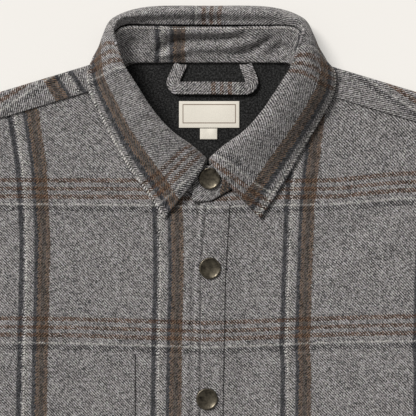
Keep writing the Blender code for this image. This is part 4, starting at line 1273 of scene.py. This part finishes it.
def make_loop():
    """Hanging loop: a flat strip carried along its centre line, sunk a little along its stitch lines. Its cloth's
    place is the distance across the strip and along the line."""
    line = smooth_path(LOOP, np.linspace(0, 1, 160))
    tangent = np.gradient(line[:, :2], axis=0)
    normal = np.stack([-tangent[:, 1], tangent[:, 0]], axis=-1)
    normal /= np.linalg.norm(normal, axis=-1, keepdims=True)
    normal[[0, -1]] = [(LOOP_END_SKEW, 0), (-LOOP_END_SKEW, 0)]
    across = (rim_shares(14, LOOP_WIDTH, 1.4) - 0.5)[None] * LOOP_WIDTH
    xy = line[:, None, :2] + normal[:, None] * across[..., None]
    mid = (LINING_TOP + LOOP_WALL / 2 + line[:, 2])[:, None]
    mid = mid - STITCH_SINK * bell(np.abs(across) - LOOP_WIDTH / 2 + LOOP_SEAM, GROOVE["loop"])
    along, across = np.broadcast_arrays(-run_of(line[:, :2])[:, None], across)
    thread = np.stack([across, along], axis=-1) + LOOP_SHIFT
    add_sheet("hanging_loop", raised(xy, mid), thread, 1.2, LOOP_WALL)


def make_labels(trims):
    """Neck label with its frame line and the bare tab that hangs under it, each with a slight pillow."""
    for name, (left, right, low, high), framed in (("label", LABEL, True), ("size_tab", SIZE_TAB, False)):
        width, height = right - left, high - low
        across, up = rim_shares(30, width, 0.6), rim_shares(16, height, 0.6)
        x, y = np.broadcast_arrays(left + width * across[:, None], low + height * up[None])
        pillow = LABEL_PILLOW * np.sin(math.pi * across)[:, None] * np.sin(math.pi * up)[None]
        lean = LABEL_LEAN * np.sin(9.0 * across + 0.5)[:, None] * up[None]
        mid = LINING_TOP + GAP + LABEL_WALL / 2 + pillow + lean
        add_sheet(name, np.stack([x, y, mid], axis=-1), np.stack([x - left, y - low], axis=-1), 0.6,
                  LABEL_WALL, material=label_material(trims, width * MM, height * MM, framed), slot="label")


def add_snap(name, x, y, base, metal, tilt=(0.0, 0.0)):
    """Snap cap: a profile of radius and height with a low foot, a rounded rim, a groove and a shallow dish, turned
    about an upright axis, then tilted and put at its place."""
    width, rise = SNAP_RIM
    foot = SNAP_RADIUS - width
    rim = [(foot + width * math.sin(a), rise - rise * math.cos(a)) for a in np.linspace(0.3, math.pi, 14)]
    dish = smooth_path(SNAP_DISH, np.linspace(0, 1, 26)) * (SNAP_RADIUS, 1.0)
    r, h = np.array([(0.0, 0.0), (foot, 0.0), *rim, *dish]).T
    turn = np.linspace(0, math.tau, 72, endpoint=False)
    points = np.stack([r[:, None] * np.cos(turn), r[:, None] * np.sin(turn), h[:, None] + 0 * turn], axis=-1)
    points[..., 2] += points[..., :2] @ tilt
    quads = ring_faces(len(r), len(turn))
    add_piece(name, points.reshape(-1, 3) + (x, y, base), quads, np.zeros((quads.size, 2)), metal, "snap",
              turn_out=True)


def make_snaps(metal):
    """Snap caps down the front and one on each cuff."""
    (x, y), *others = SNAPS
    add_snap("snap_1", x, y, BAND_SNAP_BASE - SNAP_SINK, metal, BAND_SNAP_TILT)
    for number, (x, y) in enumerate(others, 2):
        base = float(front_mid(1, np.array(x), np.array(y))) + LAP_RISE + WOOL / 2 - SNAP_SINK
        add_snap(f"snap_{number}", x, y, base, metal)
    centre = np.array(CUFF_ENDS).reshape(-1, 2).mean(axis=0)
    for side, word in ((-1, "right"), (1, "left")):
        add_snap(f"cuff_snap_{word}", centre[0] * side, centre[1], CUFF_HEIGHT + CUFF_SNAP_LIFT, metal)


def stitch_row(line, stitch):
    """Centres and directions of stitches spread evenly along a line of points."""
    reach = run_of(line)[-1]
    count = max(2, int(reach / (stitch + STITCH_GAP * stitch)))
    share = (np.arange(count) + 0.5) / count
    step = read_line(line, share + 0.5 / reach) - read_line(line, share - 0.5 / reach)
    return read_line(line, share), step / np.linalg.norm(step, axis=-1, keepdims=True)


def add_stitches(name, lines, stitch, radius, thread):
    """Rows of sewing stitches: each is a six-sided spindle, pointed into the cloth at both ends."""
    centres, steps = (np.concatenate(part) for part in zip(*[stitch_row(line, stitch) for line in lines]))
    side = np.cross(steps, (0, 0, 1.0))
    side /= np.maximum(np.linalg.norm(side, axis=-1, keepdims=True), 1e-9)
    top = np.cross(side, steps)
    turn = (np.arange(STITCH_SIDES) / STITCH_SIDES * math.tau)[None, :, None]
    ring = np.cos(turn) * side[:, None] + np.sin(turn) * top[:, None]
    rings = [centres[:, None] + steps[:, None] * (place * stitch) + top[:, None] * (drop * radius)
             + radius * width * ring for place, width, drop in STITCH_OUTLINE]
    points = np.stack(rings, axis=1)
    caps = np.array([[0, 5, 4, 3], [0, 3, 2, 1], [18, 19, 20, 21], [18, 21, 22, 23]])
    one = np.concatenate([ring_faces(len(rings), STITCH_SIDES), caps])
    faces = (one[None] + len(rings) * STITCH_SIDES * np.arange(len(centres))[:, None, None]).reshape(-1, 4)
    add_piece(name, points.reshape(-1, 3), faces, np.zeros((faces.size, 2)), thread, "wool", node=False,
              turn_out=True)


def front_line(side, line, rise=0.0):
    """A drawn line laid on a front's outer face."""
    line = smooth_path(line, np.linspace(0, 1, 30 * len(line)))
    return raised(line, front_mid(side, line[:, 0], line[:, 1]) + WOOL / 2 + rise)


def pocket_lines(inner, outer, top, low, cut):
    """Stitch lines of one pocket: round its sides and foot, and along its hem."""
    side = int(math.copysign(1, inner))
    near, far = inner + POCKET_SEAM * side, outer - POCKET_SEAM * side
    middle, quarter = (inner + outer) / 2, (outer - inner) / 4
    mouth, corner, foot, hem = top - POCKET_TOP_SEAM, low + cut, low + POCKET_FOOT_SEAM, top - POCKET_HEM
    path = [(near, mouth), (near, corner), (middle - quarter, foot), (middle + quarter, foot), (far, corner),
            (far, mouth)]
    rows = [*zip(path[:-1], path[1:]), ((near, hem), (far, hem))]
    return [front_line(side, row, POCKET_RISE - 0.1) for row in rows]


def seam_lines():
    """Lines of topstitching: placket, hem, armholes, pockets, yoke and cuffs."""
    lines = []
    y = np.linspace(PLACKET[0][0] + 3.0, PLACKET[-1][0] - 2.0, 400)
    for edge, inset in zip(read_table(PLACKET, y), PLACKET_SEAMS):
        x = edge + inset
        lines.append(np.stack([x, y, front_mid(1, x, y) + LAP_RISE + WOOL / 2 - STITCH_SINK], axis=-1))
    hem = hem_curve(24.0, HEM_SIDE[0] - 16.0, np.linspace(0, 1, 120)) + (0.0, HEM_SEAM)
    arm = smooth_path(ARMHOLE, np.linspace(0.30, 0.97, 24)) - (ARM_SEAM, 0.0)
    for side in (-1, 1):
        lines += [front_line(side, mirror(hem, side)[::6]), front_line(side, mirror(arm, side))]
    for pocket in POCKETS.values():
        lines += pocket_lines(*pocket)
    along = np.linspace(10.0, SHOULDER_LENGTH - 4.0, 90)
    for side in (-1, 1):
        depth = YOKE_DEPTH[side] - FOLD_RADIUS - WOOL / 2 + math.pi * FOLD_RADIUS - YOKE_SEAM
        row = fold_over(along, depth, side)[0]
        row[:, 2] += YOKE_WAVE * waves(row[:, 0], row[:, 1]) + WOOL / 2
        lines.append(row)
    near, far = np.array(CUFF_ENDS)
    for side in (-1, 1):
        for share in CUFF_SEAMS:
            start, end = (near + (far - near) * share).reshape(2, 2)
            row = start + (end - start) * np.linspace(0.05, 0.95, 60)[:, None]
            lines.append(mirror(raised(row, CUFF_HEIGHT), side))
    return lines


def make_stitching(trims):
    """Topstitching in thread darkened as painted shade, and the stand's seam line in paler thread as a painted
    highlight.
    """
    add_stitches("stitching", seam_lines(), size("stitch"), STITCH_RADIUS,
                 thread_material("sewing thread", trims.thread))
    line = settle(collar_face(np.linspace(0.02, 0.98, 260), SEAM_COLUMNS), STAND_CREASES)[:, 1]
    add_stitches("collar_stitching", [line], COLLAR_STITCH * size("stitch"), COLLAR_STITCH_RADIUS,
                 thread_material("collar thread", trims.collar_thread))


def make_stage(stage):
    """A pale floor, a wide key light, light from all round, and a long lens straight above."""
    scene = bpy.context.scene
    corners = np.array([(-1, -1, 0), (1, -1, 0), (1, 1, 0), (-1, 1, 0)]) * FLOOR_HALF * MM
    mesh = bpy.data.meshes.new("floor")
    mesh.from_pydata(corners.tolist(), [], [(0, 1, 2, 3)])
    mesh.materials.append(floor_material(stage.floor, stage.glow))
    put("floor", mesh)
    world = bpy.data.worlds.new("studio")
    world.use_nodes = True
    light = world.node_tree.nodes["Background"].inputs
    light["Color"].default_value = (1.0, 0.99, 0.98, 1)
    light["Strength"].default_value = stage.fill
    scene.world = world
    sun = bpy.data.lights.new("key", "SUN")
    sun.energy = stage.key
    sun.angle = stage.key_size
    sun.color = (1.0, 0.985, 0.965)
    put("key", sun).rotation_euler = (math.pi / 2 - stage.key_height, 0.0, stage.key_side + math.pi / 2)
    lens = bpy.data.cameras.new("camera")
    lens.lens = stage.lens
    lens.sensor_width = SENSOR
    lens.clip_end = 50.0
    lens.dof.use_dof = False
    camera = put("camera", lens)
    camera.location = (0.0, stage.centre_y, CLOTH_LEVEL + stage.lens / SENSOR * stage.field)
    scene.camera = camera
    scene.view_settings.view_transform = "Standard"
    scene.cycles.denoising_prefilter = "NONE"


class SHACKET_OT_back(bpy.types.Operator):
    """Back panel, flat on the surface."""

    bl_idname = "shacket.back"
    bl_label = "Back"

    def execute(self, context):
        make_back()
        return {"FINISHED"}


class SHACKET_OT_fronts(bpy.types.Operator):
    """Both front panels."""

    bl_idname = "shacket.fronts"
    bl_label = "Fronts"

    def execute(self, context):
        make_fronts()
        return {"FINISHED"}


class SHACKET_OT_yoke(bpy.types.Operator):
    """Yoke folded over both shoulders."""

    bl_idname = "shacket.yoke"
    bl_label = "Yoke"

    def execute(self, context):
        make_yoke()
        return {"FINISHED"}


class SHACKET_OT_sleeves(bpy.types.Operator):
    """Sleeves and cuffs."""

    bl_idname = "shacket.sleeves"
    bl_label = "Sleeves"

    def execute(self, context):
        make_sleeves()
        return {"FINISHED"}


class SHACKET_OT_placket(bpy.types.Operator):
    """Snap band of the left front."""

    bl_idname = "shacket.placket"
    bl_label = "Placket"

    def execute(self, context):
        make_placket()
        return {"FINISHED"}


class SHACKET_OT_pockets(bpy.types.Operator):
    """Chest pockets."""

    bl_idname = "shacket.pockets"
    bl_label = "Pockets"

    def execute(self, context):
        make_pockets()
        return {"FINISHED"}


class SHACKET_OT_collar(bpy.types.Operator):
    """Collar stand and leaf."""

    bl_idname = "shacket.collar"
    bl_label = "Collar"

    def execute(self, context):
        make_collar()
        return {"FINISHED"}


class SHACKET_OT_loop(bpy.types.Operator):
    """Hanging loop inside the neck."""

    bl_idname = "shacket.loop"
    bl_label = "Loop"

    def execute(self, context):
        make_loop()
        return {"FINISHED"}


class SHACKET_OT_lining(bpy.types.Operator):
    """Charcoal lining inside the neck."""

    bl_idname = "shacket.lining"
    bl_label = "Lining"

    def execute(self, context):
        make_lining(lining_material(context.scene.shacket_trims))
        return {"FINISHED"}


class SHACKET_OT_labels(bpy.types.Operator):
    """Neck label and the tab under it, both bare."""

    bl_idname = "shacket.labels"
    bl_label = "Labels"

    def execute(self, context):
        make_labels(context.scene.shacket_trims)
        return {"FINISHED"}


class SHACKET_OT_snaps(bpy.types.Operator):
    """Snap caps of the front and the cuffs."""

    bl_idname = "shacket.snaps"
    bl_label = "Snaps"

    def execute(self, context):
        make_snaps(snap_material(context.scene.shacket_trims))
        return {"FINISHED"}


class SHACKET_OT_stitching(bpy.types.Operator):
    """Topstitching of the seams."""

    bl_idname = "shacket.stitching"
    bl_label = "Stitching"

    def execute(self, context):
        make_stitching(context.scene.shacket_trims)
        return {"FINISHED"}


class SHACKET_OT_stage(bpy.types.Operator):
    """Floor, lights and camera."""

    bl_idname = "shacket.stage"
    bl_label = "Stage"

    def execute(self, context):
        make_stage(context.scene.shacket_stage)
        return {"FINISHED"}


OPERATORS = (SHACKET_OT_back, SHACKET_OT_fronts, SHACKET_OT_yoke, SHACKET_OT_sleeves, SHACKET_OT_placket,
             SHACKET_OT_pockets, SHACKET_OT_collar, SHACKET_OT_loop, SHACKET_OT_lining, SHACKET_OT_labels,
             SHACKET_OT_snaps, SHACKET_OT_stitching, SHACKET_OT_stage)
GROUPS = {
    "shacket_cloth": ShacketCloth,
    "shacket_plaid": ShacketPlaid,
    "shacket_trims": ShacketTrims,
    "shacket_stage": ShacketStage,
}


class SHACKET_PT_parts(bpy.types.Panel):
    """Sizes, colours and buttons of the shacket."""

    bl_idname = "SHACKET_PT_parts"
    bl_label = "Shacket"
    bl_space_type = "VIEW_3D"
    bl_region_type = "UI"
    bl_category = "Shacket"

    def draw(self, context):
        """One box of settings for each group, and one button for each operator."""
        for key, group in GROUPS.items():
            box = self.layout.box()
            for setting in group.__annotations__:
                box.prop(getattr(context.scene, key), setting)
        for operator in OPERATORS:
            self.layout.operator(operator.bl_idname)


def register():
    """Registers the classes and gives each scene its settings."""
    for made in (*GROUPS.values(), *OPERATORS, SHACKET_PT_parts):
        bpy.utils.register_class(made)
    for key, group in GROUPS.items():
        setattr(bpy.types.Scene, key, PointerProperty(type=group))


def unregister():
    """Takes back what register did."""
    for key in GROUPS:
        delattr(bpy.types.Scene, key)
    for made in reversed((*GROUPS.values(), *OPERATORS, SHACKET_PT_parts)):
        bpy.utils.unregister_class(made)


def main():
    """Registers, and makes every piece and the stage."""
    register()
    for operator in OPERATORS:
        getattr(bpy.ops.shacket, operator.bl_idname.split(".")[1])()


if __name__ == "__main__":
    main()
